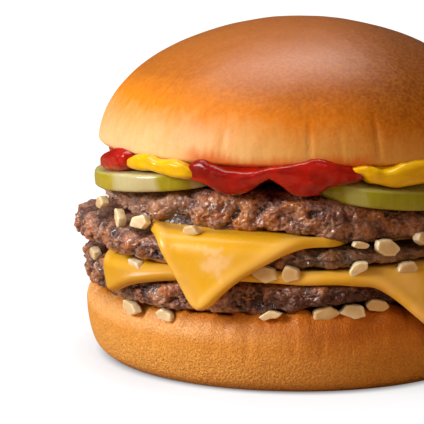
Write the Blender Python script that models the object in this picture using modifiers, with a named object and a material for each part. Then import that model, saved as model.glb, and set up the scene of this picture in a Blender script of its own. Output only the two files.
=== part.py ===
"""Triple cheeseburger: a soft bun round three beef patties and two slices of cheese, with
diced onion, pickle slices, ketchup and mustard.

Units are metres, +Z up. The origin is the centre of the bottom bun's flat base, and the
burger's front looks along -Y. A turn is an angle in degrees about the upright axis:
0 at the front, growing towards +X. Each layer rests on the one below, so the patties and
the cheese take their heights from the surface under them.
"""

import math
import random
from dataclasses import dataclass
from typing import Callable

import bmesh
import bpy
from mathutils import Euler, Vector, noise

MM = 0.001
GAP = 0.3 * MM

# Bottom bun: (radius, height) down its outer side.
HEEL_HEIGHT = 17.0 * MM
HEEL_REST_RADIUS = 43.5 * MM
HEEL_RADIUS = 50.2 * MM
HEEL_FLAT_RADIUS = 36.0 * MM
HEEL_SHOULDER = ((42.0, 17.0), (46.0, 16.9), (48.6, 15.8), (50.0, 13.5))
HEEL_WALL = ((50.2, 11.0), (49.7, 7.0), (48.3, 3.0), (46.3, 1.0))
HEEL_SCALLOP = 0.35 * MM
HEEL_SCALLOPS = 11
HEEL_SCALLOP_CREST = 5.0
# At the front right the heel's shoulder rises and the patty over it arches, with onion between.
ARCH_TURN = 16.0
ARCH_START_RADIUS = 36.0 * MM
ARCH_FULL_RADIUS = 46.0 * MM
HEEL_HUMP = 1.9 * MM
HEEL_HUMP_HALF_TURN = 34.0
PATTY_ARCH = 3.1 * MM
PATTY_ARCH_HALF_TURN = 30.0
# At the left the heel's shoulder is pressed down.
SLUMP_TURN = -62.0
SLUMP_HALF_TURN = 60.0
SLUMP_START_RADIUS = 42.0 * MM
SLUMP_FULL_RADIUS = 47.0 * MM
HEEL_SLUMP = 1.1 * MM

# Top bun: a dome over a rim that curls in under it.
BURGER_HEIGHT = 80.3 * MM
CROWN_RADIUS = 48.5 * MM
CROWN_RIM_HEIGHT = 52.0 * MM
CROWN_FULLNESS = 1.1
CROWN_CURL_WIDTH = 2.9 * MM
CROWN_CURL_DEPTH = 1.8 * MM
CROWN_SHIFT = 1.2 * MM
CROWN_DOME_STEPS = 11
CROWN_CURL_STEPS = 3

# The radius at which the layers' rim heights are given.
RIM = 50.0 * MM
# Up a patty's side: (inset from its outline in millimetres, share of its height).
PATTY_EDGE = ((3.2, 0.0), (1.1, 0.10), (0.1, 0.33), (0.0, 0.58), (1.3, 0.84), (5.0, 1.0))
CRAG_DEPTH = 1.3 * MM
CRAG_SIZE = 6.0 * MM
PATTY_MIDDLE_SHARE = 0.45

# A slice of cheese turns down over the patty's edge, and the patty above stands clear of it.
CHEESE_THICKNESS = 1.7 * MM
CHEESE_BEND = 3.0 * MM
CHEESE_HANG = math.radians(88.0)
CHEESE_SETBACK = 2.4 * MM
CHEESE_GAP = 0.4 * MM
TUCK_RADIUS = 45.5 * MM
LAYER_STEP = CHEESE_THICKNESS + 2.0 * CHEESE_GAP

# A pickle's edge is bevelled by this share of its thickness.
PICKLE_BEVEL = 0.15

SAUCE_RADIUS = 48.7 * MM
SAUCE_CORE_RADIUS = 25.0 * MM
SAUCE_SQUARENESS = 0.4
SAUCE_OVERHANG = 0.6 * MM
LOBE_OVERLAP = 3.0 * MM
CORE_INSET = 0.15 * MM

DICE_PROPORTIONS = (1.15, 1.0, 0.8)
DICE_TILT = 0.6
DICE_UNEVENNESS = (0.86, 1.1)
DICE_SEED = 7

PATTY_SEGMENTS = 56
BUN_SEGMENTS = 48
CHEESE_SIDE_STEPS = 12
PICKLE_SEGMENTS = 18
CORE_SEGMENTS = 24
SAUCE_SEGMENTS = 24


def at(turn, radius, height=0.0):
    """The point at a turn in degrees, a radius and a height."""
    angle = math.radians(turn)
    return Vector((radius * math.sin(angle), -radius * math.cos(angle), height))


def polar(x, y):
    """The turn in degrees and the radius of a point."""
    return math.degrees(math.atan2(x, -y)), math.hypot(x, y)


def waves(turn, ripples):
    """Sum of ripples round the burger, each (amount, count, turn of a crest)."""
    return sum(amount * math.cos(math.radians(count * (turn - crest))) for amount, count, crest in ripples)


def away(turn, other):
    """Degrees between two turns, from 0 to 180."""
    return abs((turn - other + 180.0) % 360.0 - 180.0)


def ease(share):
    """Smooth step from 0 to 1."""
    share = min(1.0, max(0.0, share))
    return share * share * (3.0 - 2.0 * share)


def dish(centre, rim, ripples=(), dents=()):
    """A layer's height by (x, y): a centre and a rim, in millimetres, that ripples round the burger.

    A dent is (depth, turn, half width in degrees).
    """

    def height(x, y):
        turn, radius = polar(x, y)
        edge = rim + waves(turn, ripples)
        edge -= sum(depth * ease(1.0 - away(turn, middle) / width) for depth, middle, width in dents)
        return (centre + (edge - centre) * radius / RIM) * MM

    return height


def above(surface, rise):
    """The same surface, raised."""
    return lambda x, y: surface(x, y) + rise


def material(name, colour, roughness):
    """A plain material with the part's colour."""
    made = bpy.data.materials.new(name)
    made.use_nodes = True
    shader = made.node_tree.nodes["Principled BSDF"]
    shader.inputs["Base Color"].default_value = (*colour, 1.0)
    shader.inputs["Roughness"].default_value = roughness
    shader.inputs["Metallic"].default_value = 0.0
    return made


def add(name, mesh):
    """A new object in the burger's collection."""
    obj = bpy.data.objects.new(name, mesh)
    burger.objects.link(obj)
    return obj


def settle(obj, weld=0.01 * MM):
    """Turns the object's modifiers into its mesh, welded and facing out."""
    graph = bpy.context.evaluated_depsgraph_get()
    mesh = bpy.data.meshes.new_from_object(obj.evaluated_get(graph))
    obj.modifiers.clear()
    obj.data = mesh
    shape = bmesh.new()
    shape.from_mesh(mesh)
    bmesh.ops.remove_doubles(shape, verts=shape.verts, dist=weld)
    bmesh.ops.recalc_face_normals(shape, faces=shape.faces)
    shape.to_mesh(mesh)
    shape.free()
    return obj


def turned(name, profile, steps):
    """A solid turned from a profile of (radius, height), which runs down its outer side."""
    mesh = bpy.data.meshes.new(name)
    edges = [(index, index + 1) for index in range(len(profile) - 1)]
    mesh.from_pydata([(radius, 0.0, height) for radius, height in profile], edges, [])
    obj = add(name, mesh)
    screw = obj.modifiers.new("Turn", "SCREW")
    screw.axis = "Z"
    screw.steps = screw.render_steps = steps
    screw.use_merge_vertices = True
    screw.merge_threshold = 0.01 * MM
    return settle(obj)


def loft(name, rings, poles):
    """A closed solid through rings with equal counts of points, with a pole beyond each end."""
    shape = bmesh.new()
    loops = [[shape.verts.new(point) for point in ring] for ring in rings]
    count = len(loops[0])
    for lower, upper in zip(loops, loops[1:]):
        for index in range(count):
            after = (index + 1) % count
            shape.faces.new((lower[index], lower[after], upper[after], upper[index]))
    for loop, pole in zip((loops[0], loops[-1]), poles):
        tip = shape.verts.new(pole)
        for index in range(count):
            shape.faces.new((loop[index], loop[(index + 1) % count], tip))
    bmesh.ops.recalc_face_normals(shape, faces=shape.faces)
    mesh = bpy.data.meshes.new(name)
    shape.to_mesh(mesh)
    shape.free()
    return add(name, mesh)


def finish(obj, look, sharp_angle):
    """Gives a finished piece its material and its shading."""
    obj.data.materials.clear()
    obj.data.materials.append(look)
    obj.data.shade_smooth()
    obj.data.set_sharp_from_angle(angle=math.radians(sharp_angle))
    return obj


def combine(target, tools, operation):
    """One applied Boolean on a collection of tools, which is then removed."""
    group = bpy.data.collections.new("tools")
    bpy.context.scene.collection.children.link(group)
    for tool in tools:
        burger.objects.unlink(tool)
        group.objects.link(tool)
        tool.hide_render = True
        tool.display_type = "WIRE"
    boolean = target.modifiers.new("Combine", "BOOLEAN")
    boolean.operand_type = "COLLECTION"
    boolean.collection = group
    boolean.operation = operation
    boolean.solver = "EXACT"
    settle(target, 0.001 * MM)
    for tool in tools:
        bpy.data.objects.remove(tool, do_unlink=True)
    bpy.data.collections.remove(group)
    return target


def swollen(obj, by):
    """A copy of the object with its surface moved out, to cut its room and a gap from another."""
    copy = add(obj.name + "_room", obj.data.copy())
    copy.location = obj.location
    for vertex, normal in zip(copy.data.vertices, [vertex.normal.copy() for vertex in obj.data.vertices]):
        vertex.co += normal * by
    return copy


def keep_largest(obj):
    """Drops any loose scrap that a Boolean left."""
    shape = bmesh.new()
    shape.from_mesh(obj.data)
    left = set(shape.verts)
    islands = []
    while left:
        island = {left.pop()}
        front = set(island)
        while front:
            front = {edge.other_vert(vertex) for vertex in front for edge in vertex.link_edges} - island
            island |= front
        left -= island
        islands.append(island)
    largest = max(islands, key=len)
    bmesh.ops.delete(shape, geom=[vertex for vertex in shape.verts if vertex not in largest], context="VERTS")
    shape.to_mesh(obj.data)
    shape.free()


# Buns


def bump(turn, radius, middle, half_turn, start_radius, full_radius):
    """A swell of a layer's rim about one turn, from 0 to 1."""
    near = ease(1.0 - away(turn, middle) / half_turn)
    return near * ease((radius - start_radius) / (full_radius - start_radius))


def arch(turn, radius, half_turn):
    """The swell at the front right."""
    return bump(turn, radius, ARCH_TURN, half_turn, ARCH_START_RADIUS, ARCH_FULL_RADIUS)


def make_heel():
    profile = [(0.0, HEEL_HEIGHT), (HEEL_FLAT_RADIUS, HEEL_HEIGHT)]
    profile += [(radius * MM, height * MM) for radius, height in HEEL_SHOULDER + HEEL_WALL]
    profile += [(HEEL_REST_RADIUS, 0.0), (0.0, 0.0)]
    heel = turned("bottom_bun", profile, BUN_SEGMENTS)
    for vertex in heel.data.vertices:
        turn, radius = polar(vertex.co.x, vertex.co.y)
        upper_half = ease((vertex.co.z - 0.5 * HEEL_HEIGHT) / (0.3 * HEEL_HEIGHT))
        outside = ease(5.0 * radius / RIM - 4.0)
        swell = HEEL_SCALLOP * upper_half * outside * waves(turn, ((1.0, HEEL_SCALLOPS, HEEL_SCALLOP_CREST),))
        vertex.co.xy *= 1.0 + swell / max(radius, RIM / 2.0)
        raised = ease((vertex.co.z - 0.6 * HEEL_HEIGHT) / (0.3 * HEEL_HEIGHT))
        hump = arch(turn, radius, HEEL_HUMP_HALF_TURN)
        slump = bump(turn, radius, SLUMP_TURN, SLUMP_HALF_TURN, SLUMP_START_RADIUS, SLUMP_FULL_RADIUS)
        vertex.co.z += raised * (HEEL_HUMP * hump - HEEL_SLUMP * slump)
    return heel


def make_crown():
    rise = BURGER_HEIGHT - CROWN_RIM_HEIGHT
    quarter_turn = 0.5 * math.pi
    profile = [(0.0, BURGER_HEIGHT)]
    for step in range(1, CROWN_DOME_STEPS + 1):
        angle = quarter_turn * (1.0 - step / CROWN_DOME_STEPS)
        height = CROWN_RIM_HEIGHT + rise * abs(math.sin(angle)) ** CROWN_FULLNESS
        profile.append((CROWN_RADIUS * math.cos(angle), height))
    curl = CROWN_RADIUS - CROWN_CURL_WIDTH
    for step in range(1, CROWN_CURL_STEPS + 1):
        angle = quarter_turn * step / CROWN_CURL_STEPS
        radius = curl + CROWN_CURL_WIDTH * math.cos(angle)
        profile.append((radius, CROWN_RIM_HEIGHT - CROWN_CURL_DEPTH * math.sin(angle)))
    profile.append((0.0, CROWN_RIM_HEIGHT - CROWN_CURL_DEPTH))
    crown = turned("top_bun", profile, BUN_SEGMENTS)
    crown.location.x = CROWN_SHIFT
    return crown


# Patties


@dataclass(frozen=True)
class Patty:
    """A ground beef patty between two surfaces, with a rippled outline and a craggy side."""

    name: str
    underside: Callable
    top: Callable
    radius: float
    ripples: tuple
    seed: float

    def reach(self, turn):
        return (self.radius + waves(turn, self.ripples)) * MM

    def crag(self, point):
        """How far the side is pitted in at a point."""
        lump = noise.noise(point / CRAG_SIZE + Vector((self.seed, 0.0, 0.0)))
        return CRAG_DEPTH * min(1.0, max(0.0, 0.5 + lump))

    def ring(self, inset, share):
        points = []
        for step in range(PATTY_SEGMENTS):
            turn = 360.0 * step / PATTY_SEGMENTS
            radius = self.reach(turn) - inset
            flat = at(turn, radius)
            low = self.underside(flat.x, flat.y)
            high = self.top(flat.x, flat.y)
            flat.z = low + (high - low) * share
            steepness = 4.0 * share * (1.0 - share)
            radius -= self.crag(flat) * steepness
            points.append(at(turn, radius, flat.z))
        return points

    def make(self):
        middle_inset = PATTY_MIDDLE_SHARE * self.radius * MM
        rings = [self.ring(middle_inset, 0.0)]
        rings += [self.ring(inset * MM, share) for inset, share in PATTY_EDGE]
        rings += [self.ring(middle_inset, 1.0)]
        poles = (Vector((0.0, 0.0, self.underside(0.0, 0.0))), Vector((0.0, 0.0, self.top(0.0, 0.0))))
        return loft(self.name, rings, poles)


heel_room = dish(17.3, 17.6)


def bottom_underside(x, y):
    """Rests on the bottom bun and arches up a little at the front, where diced onion sits under it."""
    turn, radius = polar(x, y)
    return heel_room(x, y) + PATTY_ARCH * arch(turn, radius, PATTY_ARCH_HALF_TURN)


SIDE_LOBES = ((0.7, 5, 20.0), (0.5, 8, 50.0), (0.4, 13, 10.0))
bottom_top = dish(25.4, 26.3, ((0.5, 3, 40.0),))
middle_top = dish(34.3, 34.0, ((2.2, 1, -80.0), (-0.9, 2, 15.0)), ((2.4, -115.0, 62.0),))
upper_top = dish(44.5, 43.2, ((1.7, 3, -12.0), (0.7, 1, -80.0)))

bottom_patty = Patty(
    "patty_bottom", bottom_underside, bottom_top, 49.7, ((1.4, 1, -80.0), *SIDE_LOBES), 3.0
)
middle_patty = Patty(
    "patty_middle", above(bottom_top, LAYER_STEP), middle_top, 50.4, ((3.1, 1, -80.0), *SIDE_LOBES), 11.0
)
upper_patty = Patty(
    "patty_top", above(middle_top, LAYER_STEP), upper_top, 48.0, ((-1.6, 1, -85.0), *SIDE_LOBES), 19.0
)


# Cheese


@dataclass(frozen=True)
class Slice:
    """A square slice of cheese laid over a patty, its corners hanging over the side.

    One corner, the tip, is given by its turn and its reach from the axis along the slice.
    The heading is the direction in degrees from +X of the edge that leaves the tip anticlockwise.
    The radius that its corners wrap round is given by the turn. Its sides, in order from the tip,
    bow out by the melts, with a fine point at each corner at roundness 1 and a blunter one below it.
    The corner within some degrees of the tucked turn doesn't reach past the patty above.
    """

    name: str
    patty: Patty
    wrapped: Callable
    tip_turn: float
    tip_reach: float
    heading: float
    side: float
    melts: tuple
    roundness: float
    tucked: tuple = (0.0, -1.0)

    def outline(self):
        """Points round the slice, with each side bowed out by the melt."""
        corner = at(self.tip_turn, self.tip_reach)
        points = []
        for quarter in range(4):
            angle = math.radians(self.heading + 90.0 * quarter)
            along = Vector((math.cos(angle), math.sin(angle), 0.0))
            outward = Vector((along.y, -along.x, 0.0))
            for step in range(CHEESE_SIDE_STEPS):
                share = step / CHEESE_SIDE_STEPS
                bow = self.melts[quarter] * MM * math.sin(math.pi * share) ** self.roundness
                points.append(corner + along * self.side * share + outward * bow)
            corner = corner + along * self.side
        return points

    def draped(self, turn, run):
        """The point that lies a length of slice out from the axis: flat, round the bend, then hanging."""
        start = self.wrapped(turn) - CHEESE_SETBACK
        flat = at(turn, min(run, start))
        height = self.patty.top(flat.x, flat.y) + CHEESE_GAP
        angle = min(CHEESE_HANG, max(0.0, run - start) / CHEESE_BEND)
        radius = min(run, start) + CHEESE_BEND * math.sin(angle)
        height -= CHEESE_BEND * (1.0 - math.cos(angle))
        hang = max(0.0, run - start - CHEESE_BEND * CHEESE_HANG)
        radius += hang * math.cos(CHEESE_HANG)
        height -= hang * math.sin(CHEESE_HANG)
        return at(turn, radius, height)

    def make(self):
        spokes = []
        for point in self.outline():
            turn, reach = polar(point.x, point.y)
            if away(turn, self.tucked[0]) < self.tucked[1]:
                reach = min(reach, TUCK_RADIUS)
            start = self.wrapped(turn) - CHEESE_SETBACK
            bent = start + CHEESE_BEND * CHEESE_HANG
            stations = (0.5 * start, start, 0.5 * (start + bent), bent, 0.5 * (bent + reach), reach)
            last = len(stations) - 1
            runs = [min(station, reach - 0.3 * MM * (last - index)) for index, station in enumerate(stations)]
            spokes.append([self.draped(turn, run) for run in runs])
        shape = bmesh.new()
        tip = shape.verts.new(self.draped(0.0, 0.0))
        columns = [[shape.verts.new(point) for point in spoke] for spoke in spokes]
        for here, there in zip(columns, columns[1:] + columns[:1]):
            shape.faces.new((tip, here[0], there[0]))
            for index in range(len(here) - 1):
                shape.faces.new((here[index], here[index + 1], there[index + 1], there[index]))
        mesh = bpy.data.meshes.new(self.name)
        shape.to_mesh(mesh)
        shape.free()
        obj = add(self.name, mesh)
        solidify = obj.modifiers.new("Thickness", "SOLIDIFY")
        solidify.thickness = CHEESE_THICKNESS
        solidify.offset = 1.0
        return settle(obj)


def round_lower(turn):
    """The lower slice hangs past both the patty under it and the bottom bun."""
    return max(bottom_patty.reach(turn), HEEL_RADIUS)


def round_upper(turn):
    """The upper slice also clears the lower one, whose corners hang at the right."""
    wanted = round_lower(turn) + CHEESE_THICKNESS + 2.0 * GAP
    spare = max(0.0, wanted - middle_patty.reach(turn))
    return middle_patty.reach(turn) + spare * ease((100.0 - away(turn, 115.0)) / 30.0)


lower_slice = Slice(
    "cheese_lower",
    bottom_patty,
    round_lower,
    tip_turn=38.0,
    tip_reach=61.7 * MM,
    heading=79.5,
    side=85.0 * MM,
    melts=(2.0, 2.0, 0.5, 6.0),
    roundness=0.35,
)
upper_slice = Slice(
    "cheese_upper",
    middle_patty,
    round_upper,
    tip_turn=-21.5,
    tip_reach=65.0 * MM,
    heading=21.0,
    side=84.0 * MM,
    melts=(1.5, 1.5, 1.5, 1.5),
    roundness=1.0,
    tucked=(-106.0, 36.0),
)


# Pickles


@dataclass(frozen=True)
class Pickle:
    """An oval pickle slice that settles on the upper patty."""

    name: str
    turn: float
    radius: float
    half_length: float
    half_width: float
    thickness: float

    def make(self, grow=0.0):
        edge = PICKLE_BEVEL * self.thickness
        profile = [
            (0.0, self.thickness),
            (0.55, self.thickness),
            (0.93, self.thickness),
            (1.0, self.thickness - edge),
            (1.0, edge),
            (0.93, 0.0),
            (0.55, 0.0),
            (0.0, 0.0),
        ]
        obj = turned(self.name, [(share * RIM, height) for share, height in profile], PICKLE_SEGMENTS)
        centre = at(self.turn, self.radius * MM)
        along = at(self.turn + 90.0, 1.0)
        out = at(self.turn, 1.0)
        for vertex in obj.data.vertices:
            x = vertex.co.x / RIM * (self.half_length * MM + grow)
            y = vertex.co.y / RIM * (self.half_width * MM + grow)
            spot = centre + along * x - out * y
            rise = vertex.co.z + (grow if vertex.co.z > 0.5 * self.thickness else -grow)
            vertex.co = (spot.x, spot.y, upper_patty.top(spot.x, spot.y) + GAP + rise)
        return settle(obj)


PICKLES = (
    Pickle("pickle_left", -54.0, 37.0, 19.0, 14.0, 4.2 * MM),
    Pickle("pickle_right", 33.0, 36.5, 19.5, 14.0, 4.7 * MM),
    Pickle("pickle_back_right", 112.0, 35.5, 17.5, 14.5, 4.2 * MM),
    Pickle("pickle_back_left", -158.0, 36.0, 18.0, 14.0, 4.4 * MM),
)


# Sauces


@dataclass(frozen=True)
class Squeeze:
    """Sauce squeezed out from the middle between two turns, down to a level at its outer edge."""

    start: float
    end: float
    level: float
    sag: float = 0.0
    lobe_turn: float = 0.0
    lobe_pitch: float = 22.0
    inner: float = SAUCE_CORE_RADIUS
    outer: float = SAUCE_RADIUS

    def spot(self, angle, share):
        """Place on the squeeze, from its middle at share 0 to its rounded outline at share 1."""
        across = math.copysign(abs(math.cos(angle)) ** SAUCE_SQUARENESS, math.cos(angle)) * share
        out = math.copysign(abs(math.sin(angle)) ** SAUCE_SQUARENESS, math.sin(angle)) * share
        turn = 0.5 * (self.start + self.end) + 0.5 * (self.end - self.start) * across
        radius = 0.5 * (self.inner + self.outer) + 0.5 * (self.outer - self.inner) * out
        return at(turn, radius)

    def floor(self, x, y):
        """The sauce's lower surface: on the patty, then hanging in lobes past its edge."""
        turn, radius = polar(x, y)
        resting = upper_patty.top(x, y) + GAP
        lobes = math.cos(2.0 * math.pi * (turn - self.lobe_turn) / self.lobe_pitch)
        hanging = (self.level - self.sag * lobes) * MM
        past = ease((radius - upper_patty.reach(turn)) / SAUCE_OVERHANG)
        if self.level * MM < resting:
            return resting + (hanging - resting) * past
        return max(resting, hanging)


def pool(name, spot, floor, ceiling, segments, shares, swell):
    """A pool of sauce between two surfaces, with a rounded edge that swells out at mid height."""
    angles = [2.0 * math.pi * step / segments for step in range(segments)]

    def ring(share, height_share, swollen_by=0.0):
        points = []
        for angle in angles:
            point = spot(angle, share)
            low = floor(point.x, point.y)
            point.z = low + (ceiling(point.x, point.y) - low) * height_share
            outward = point.xy.normalized() * swollen_by
            points.append(point + Vector((outward.x, outward.y, 0.0)))
        return points

    rings = [ring(share, 0.0) for share in shares]
    rings.append(ring(1.0, 0.2))
    rings.append(ring(1.0, 0.5, swell))
    rings.append(ring(1.0, 0.8))
    rings += [ring(share, 1.0) for share in reversed(shares)]
    poles = []
    for surface in (floor, ceiling):
        point = spot(0.0, 0.0)
        point.z = surface(point.x, point.y)
        poles.append(point)
    return loft(name, rings, poles)


def ceiling(x, y):
    """The sauces rise beside the top bun's rim, and its own room is then cut from them."""
    return CROWN_RIM_HEIGHT - GAP


def squeeze_out(name, squeeze, segments, swell):
    """One squeezed-out lobe of sauce under the top bun."""
    return pool(name, squeeze.spot, squeeze.floor, ceiling, segments, (0.55, 0.94), swell)


def make_ketchup():
    """A core in the middle of the burger with lobes squeezed out between the pickles."""
    ketchup = pool(
        "ketchup",
        lambda angle, share: at(math.degrees(angle), share * SAUCE_CORE_RADIUS),
        above(upper_patty.top, GAP + CORE_INSET),
        above(ceiling, -CORE_INSET),
        CORE_SEGMENTS,
        (0.5,),
        0.0,
    )
    reach_in = SAUCE_CORE_RADIUS - LOBE_OVERLAP
    lobes = (
        (Squeeze(-29.5, 14.8, 45.8, 1.6, 3.5, 22.0, reach_in), 40),
        (Squeeze(61.0, 84.0, 46.0, 0.8, 72.0, 22.0, reach_in), 16),
        (Squeeze(100.0, 168.0, 46.2, 0.8, 150.0, 25.0, reach_in), 24),
        (Squeeze(-124.0, -84.0, 45.6, 0.8, -100.0, 25.0, reach_in, 45.0 * MM), 16),
    )
    pieces = [squeeze_out("lobe", lobe, segments, 0.3 * MM) for lobe, segments in lobes]
    return combine(ketchup, pieces, "UNION")


SQUEEZES = (
    ("ketchup_drop", Squeeze(-67.5, -54.2, 46.3), 0.5 * MM),
    ("mustard_left", Squeeze(-53.4, -30.3, 46.8), 0.4 * MM),
    ("mustard_right", Squeeze(15.6, 50.0, 46.0), 0.4 * MM),
    ("mustard_back", Squeeze(-178.0, -134.0, 46.5), 0.4 * MM),
)


# Diced onion


# (turn, radius, height, size) in degrees and millimetres, by the piece that it lies on.
DICE = {
    "bottom_bun": (
        (-48.0, 49.4, 16.4, 3.8),
        (-36.0, 49.3, 16.3, 3.6),
        (-6.0, 48.4, 17.9, 3.4),
        (7.5, 47.8, 18.8, 4.4),
        (15.6, 48.0, 18.9, 3.8),
        (22.5, 47.8, 18.8, 4.0),
        (57.0, 49.4, 16.4, 3.6),
        (98.0, 49.4, 16.4, 3.4),
        (150.0, 49.4, 16.4, 3.8),
        (-166.0, 49.4, 16.4, 3.4),
        (-122.0, 49.4, 16.4, 3.8),
    ),
    "patty_bottom": (
        (-71.0, 49.4, 25.8, 4.0),
        (82.0, 48.4, 26.6, 3.8),
        (173.0, 48.4, 26.6, 3.8),
        (-100.0, 49.4, 26.4, 3.8),
    ),
    "cheese_lower": (
        (-42.5, 51.1, 27.0, 3.8),
        (-7.3, 48.8, 27.4, 3.6),
        (-1.0, 49.4, 27.2, 3.4),
        (15.8, 50.2, 27.8, 3.8),
        (29.4, 49.9, 28.0, 3.8),
        (112.0, 49.8, 28.0, 3.6),
        (-140.0, 50.2, 28.0, 3.8),
    ),
    "patty_middle": (
        (-63.0, 49.6, 38.2, 4.6),
        (-53.0, 50.0, 37.2, 4.0),
        (17.0, 49.0, 33.4, 3.2),
        (23.0, 49.2, 32.9, 4.6),
        (35.0, 48.8, 33.2, 3.8),
        (102.0, 48.2, 33.6, 4.0),
        (124.0, 48.4, 34.0, 3.6),
        (-150.0, 50.0, 35.2, 4.2),
        (-166.0, 49.6, 34.6, 3.6),
    ),
    "cheese_upper": (
        (-43.0, 50.2, 37.0, 4.4),
        (-26.5, 50.4, 36.8, 3.4),
        (66.0, 50.4, 35.4, 3.8),
        (152.0, 50.6, 36.0, 3.8),
    ),
}


def die(turn, radius, height, size, chance):
    """One uneven dice of onion."""
    bpy.ops.mesh.primitive_cube_add(size=size * MM)
    obj = bpy.context.object
    for group in obj.users_collection:
        group.objects.unlink(obj)
    burger.objects.link(obj)
    turned_by = Euler([chance.uniform(-DICE_TILT, DICE_TILT) for _ in range(3)]).to_matrix()
    for vertex in obj.data.vertices:
        jitter = Vector([chance.uniform(*DICE_UNEVENNESS) for _ in range(3)])
        vertex.co = turned_by @ (vertex.co * Vector(DICE_PROPORTIONS) * jitter)
        vertex.co += at(turn, radius * MM, height * MM)
    return obj


def add_onion(host, neighbours, chance):
    """Fuses the host's dice of onion to it, clear of the pieces beside it."""
    dice = [die(*place, chance) for place in DICE[host.name]]
    rooms = [swollen(neighbour, GAP) for neighbour in neighbours]
    onion = dice[0]
    combine(onion, dice[1:], "UNION")
    combine(onion, rooms, "DIFFERENCE")
    combine(host, [onion], "UNION")
    keep_largest(host)


def main():
    bread = material("bread", (0.78, 0.42, 0.16), 0.5)
    looks = {
        "patty": material("beef", (0.16, 0.075, 0.045), 0.5),
        "bottom": bread,
        "top": bread,
        "cheese": material("cheese", (0.93, 0.55, 0.10), 0.35),
        "pickle": material("pickle", (0.45, 0.44, 0.10), 0.3),
        "ketchup": material("ketchup", (0.48, 0.03, 0.02), 0.2),
        "mustard": material("mustard", (0.85, 0.60, 0.03), 0.3),
    }
    nodes = {}
    for patty in (bottom_patty, middle_patty, upper_patty):
        nodes[patty.name] = patty.make()
    for cheese_slice in (lower_slice, upper_slice):
        nodes[cheese_slice.name] = cheese_slice.make()
    nodes["bottom_bun"] = make_heel()
    nodes["top_bun"] = make_crown()
    for pickle in PICKLES:
        nodes[pickle.name] = pickle.make()
    nodes["ketchup"] = make_ketchup()
    for name, squeeze, swell in SQUEEZES:
        nodes[name] = squeeze_out(name, squeeze, SAUCE_SEGMENTS, swell)
    for name in ("ketchup", *[name for name, _, _ in SQUEEZES]):
        rooms = [pickle.make(GAP) for pickle in PICKLES]
        rooms.append(swollen(nodes["top_bun"], GAP))
        combine(nodes[name], rooms, "DIFFERENCE")
        keep_largest(nodes[name])

    chance = random.Random(DICE_SEED)
    stacking = ("bottom_bun", "patty_bottom", "cheese_lower", "patty_middle", "cheese_upper", "patty_top")
    for level, host in enumerate(stacking[:-1]):
        near = stacking[max(0, level - 2) : level] + stacking[level + 1 : level + 4]
        add_onion(nodes[host], [nodes[name] for name in near], chance)

    for name, obj in nodes.items():
        kind = name.split("_")[0]
        finish(obj, looks[kind], 30.0 if kind == "patty" else 40.0)


for leftover in list(bpy.data.objects):
    bpy.data.objects.remove(leftover, do_unlink=True)
burger = bpy.data.collections.new("triple_cheeseburger")
bpy.context.scene.collection.children.link(burger)
main()
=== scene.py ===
"""Triple cheeseburger: the looks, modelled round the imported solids.

Sizes are in metres, +Z up, with the burger's front towards -Y. A turn is an angle in degrees about
the upright axis, 0 at the front and growing towards +X. Tables of places are in millimetres.
"""

import math
import random
from typing import Callable, NamedTuple

import bpy
import numpy as np
from bpy.props import FloatProperty, FloatVectorProperty, IntProperty, PointerProperty
from bpy.types import Operator, Panel, PropertyGroup
from mathutils import Euler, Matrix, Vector, noise


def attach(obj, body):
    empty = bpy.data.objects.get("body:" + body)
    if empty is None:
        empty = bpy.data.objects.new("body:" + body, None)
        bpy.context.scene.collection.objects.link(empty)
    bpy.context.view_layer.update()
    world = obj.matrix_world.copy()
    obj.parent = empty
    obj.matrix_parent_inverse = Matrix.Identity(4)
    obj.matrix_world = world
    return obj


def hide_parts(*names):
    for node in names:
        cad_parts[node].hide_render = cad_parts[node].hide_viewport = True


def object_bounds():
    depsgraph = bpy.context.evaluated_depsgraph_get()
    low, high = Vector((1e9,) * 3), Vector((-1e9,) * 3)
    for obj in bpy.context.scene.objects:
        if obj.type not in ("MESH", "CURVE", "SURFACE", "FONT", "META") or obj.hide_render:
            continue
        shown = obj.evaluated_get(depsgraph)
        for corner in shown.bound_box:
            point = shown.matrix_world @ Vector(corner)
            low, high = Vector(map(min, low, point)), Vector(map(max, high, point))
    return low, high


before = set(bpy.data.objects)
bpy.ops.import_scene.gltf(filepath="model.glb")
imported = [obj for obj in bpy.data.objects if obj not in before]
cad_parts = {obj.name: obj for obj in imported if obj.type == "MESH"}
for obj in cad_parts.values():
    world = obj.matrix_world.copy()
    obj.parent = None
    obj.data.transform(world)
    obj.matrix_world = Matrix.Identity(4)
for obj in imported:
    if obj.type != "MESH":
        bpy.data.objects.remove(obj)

cad_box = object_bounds()

bl_info = {
    "name": "Triple cheeseburger",
    "version": (1, 0, 0),
    "blender": (4, 5, 0),
    "location": "3D View > Sidebar > Burger",
    "description": "Models a triple cheeseburger: bun, patties, cheese, pickles, onion and sauces",
    "category": "Add Mesh",
}

MM = 0.001
GAP = 0.3 * MM

# The stack, as the solids have it.
RIM = 50.0 * MM
HEEL_HEIGHT = 17.0 * MM
HEEL_RADIUS = 50.2 * MM
HEEL_SIDE = (
    (36.0, 17.0), (42.0, 17.0), (46.0, 16.9), (48.6, 15.8), (50.0, 13.5),
    (50.2, 11.0), (49.7, 7.0), (48.3, 3.0), (46.3, 1.0), (43.5, 0.0), (30.0, 0.0),
)
HEEL_POLE = 12.0 * MM
CROWN_RADIUS = 48.5 * MM
CROWN_RIM_HEIGHT = 52.0 * MM
CROWN_CURL_WIDTH = 2.9 * MM
CROWN_CURL_DEPTH = 1.8 * MM
CROWN_FULLNESS = 1.1
CROWN_SHIFT = 1.2 * MM
ARCH_TURN = 16.0
SLUMP_TURN = -62.0

# Heights between which each crust is creased, and the crumpled ring on the heel's shoulder.
CROWN_CREASES = (51.5 * MM, 63.0 * MM)
HEEL_CREASES = (8.0 * MM, 17.4 * MM)
FRINGE_RADIUS = 46.6 * MM
FRINGE_WIDTH = 1.7 * MM

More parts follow.
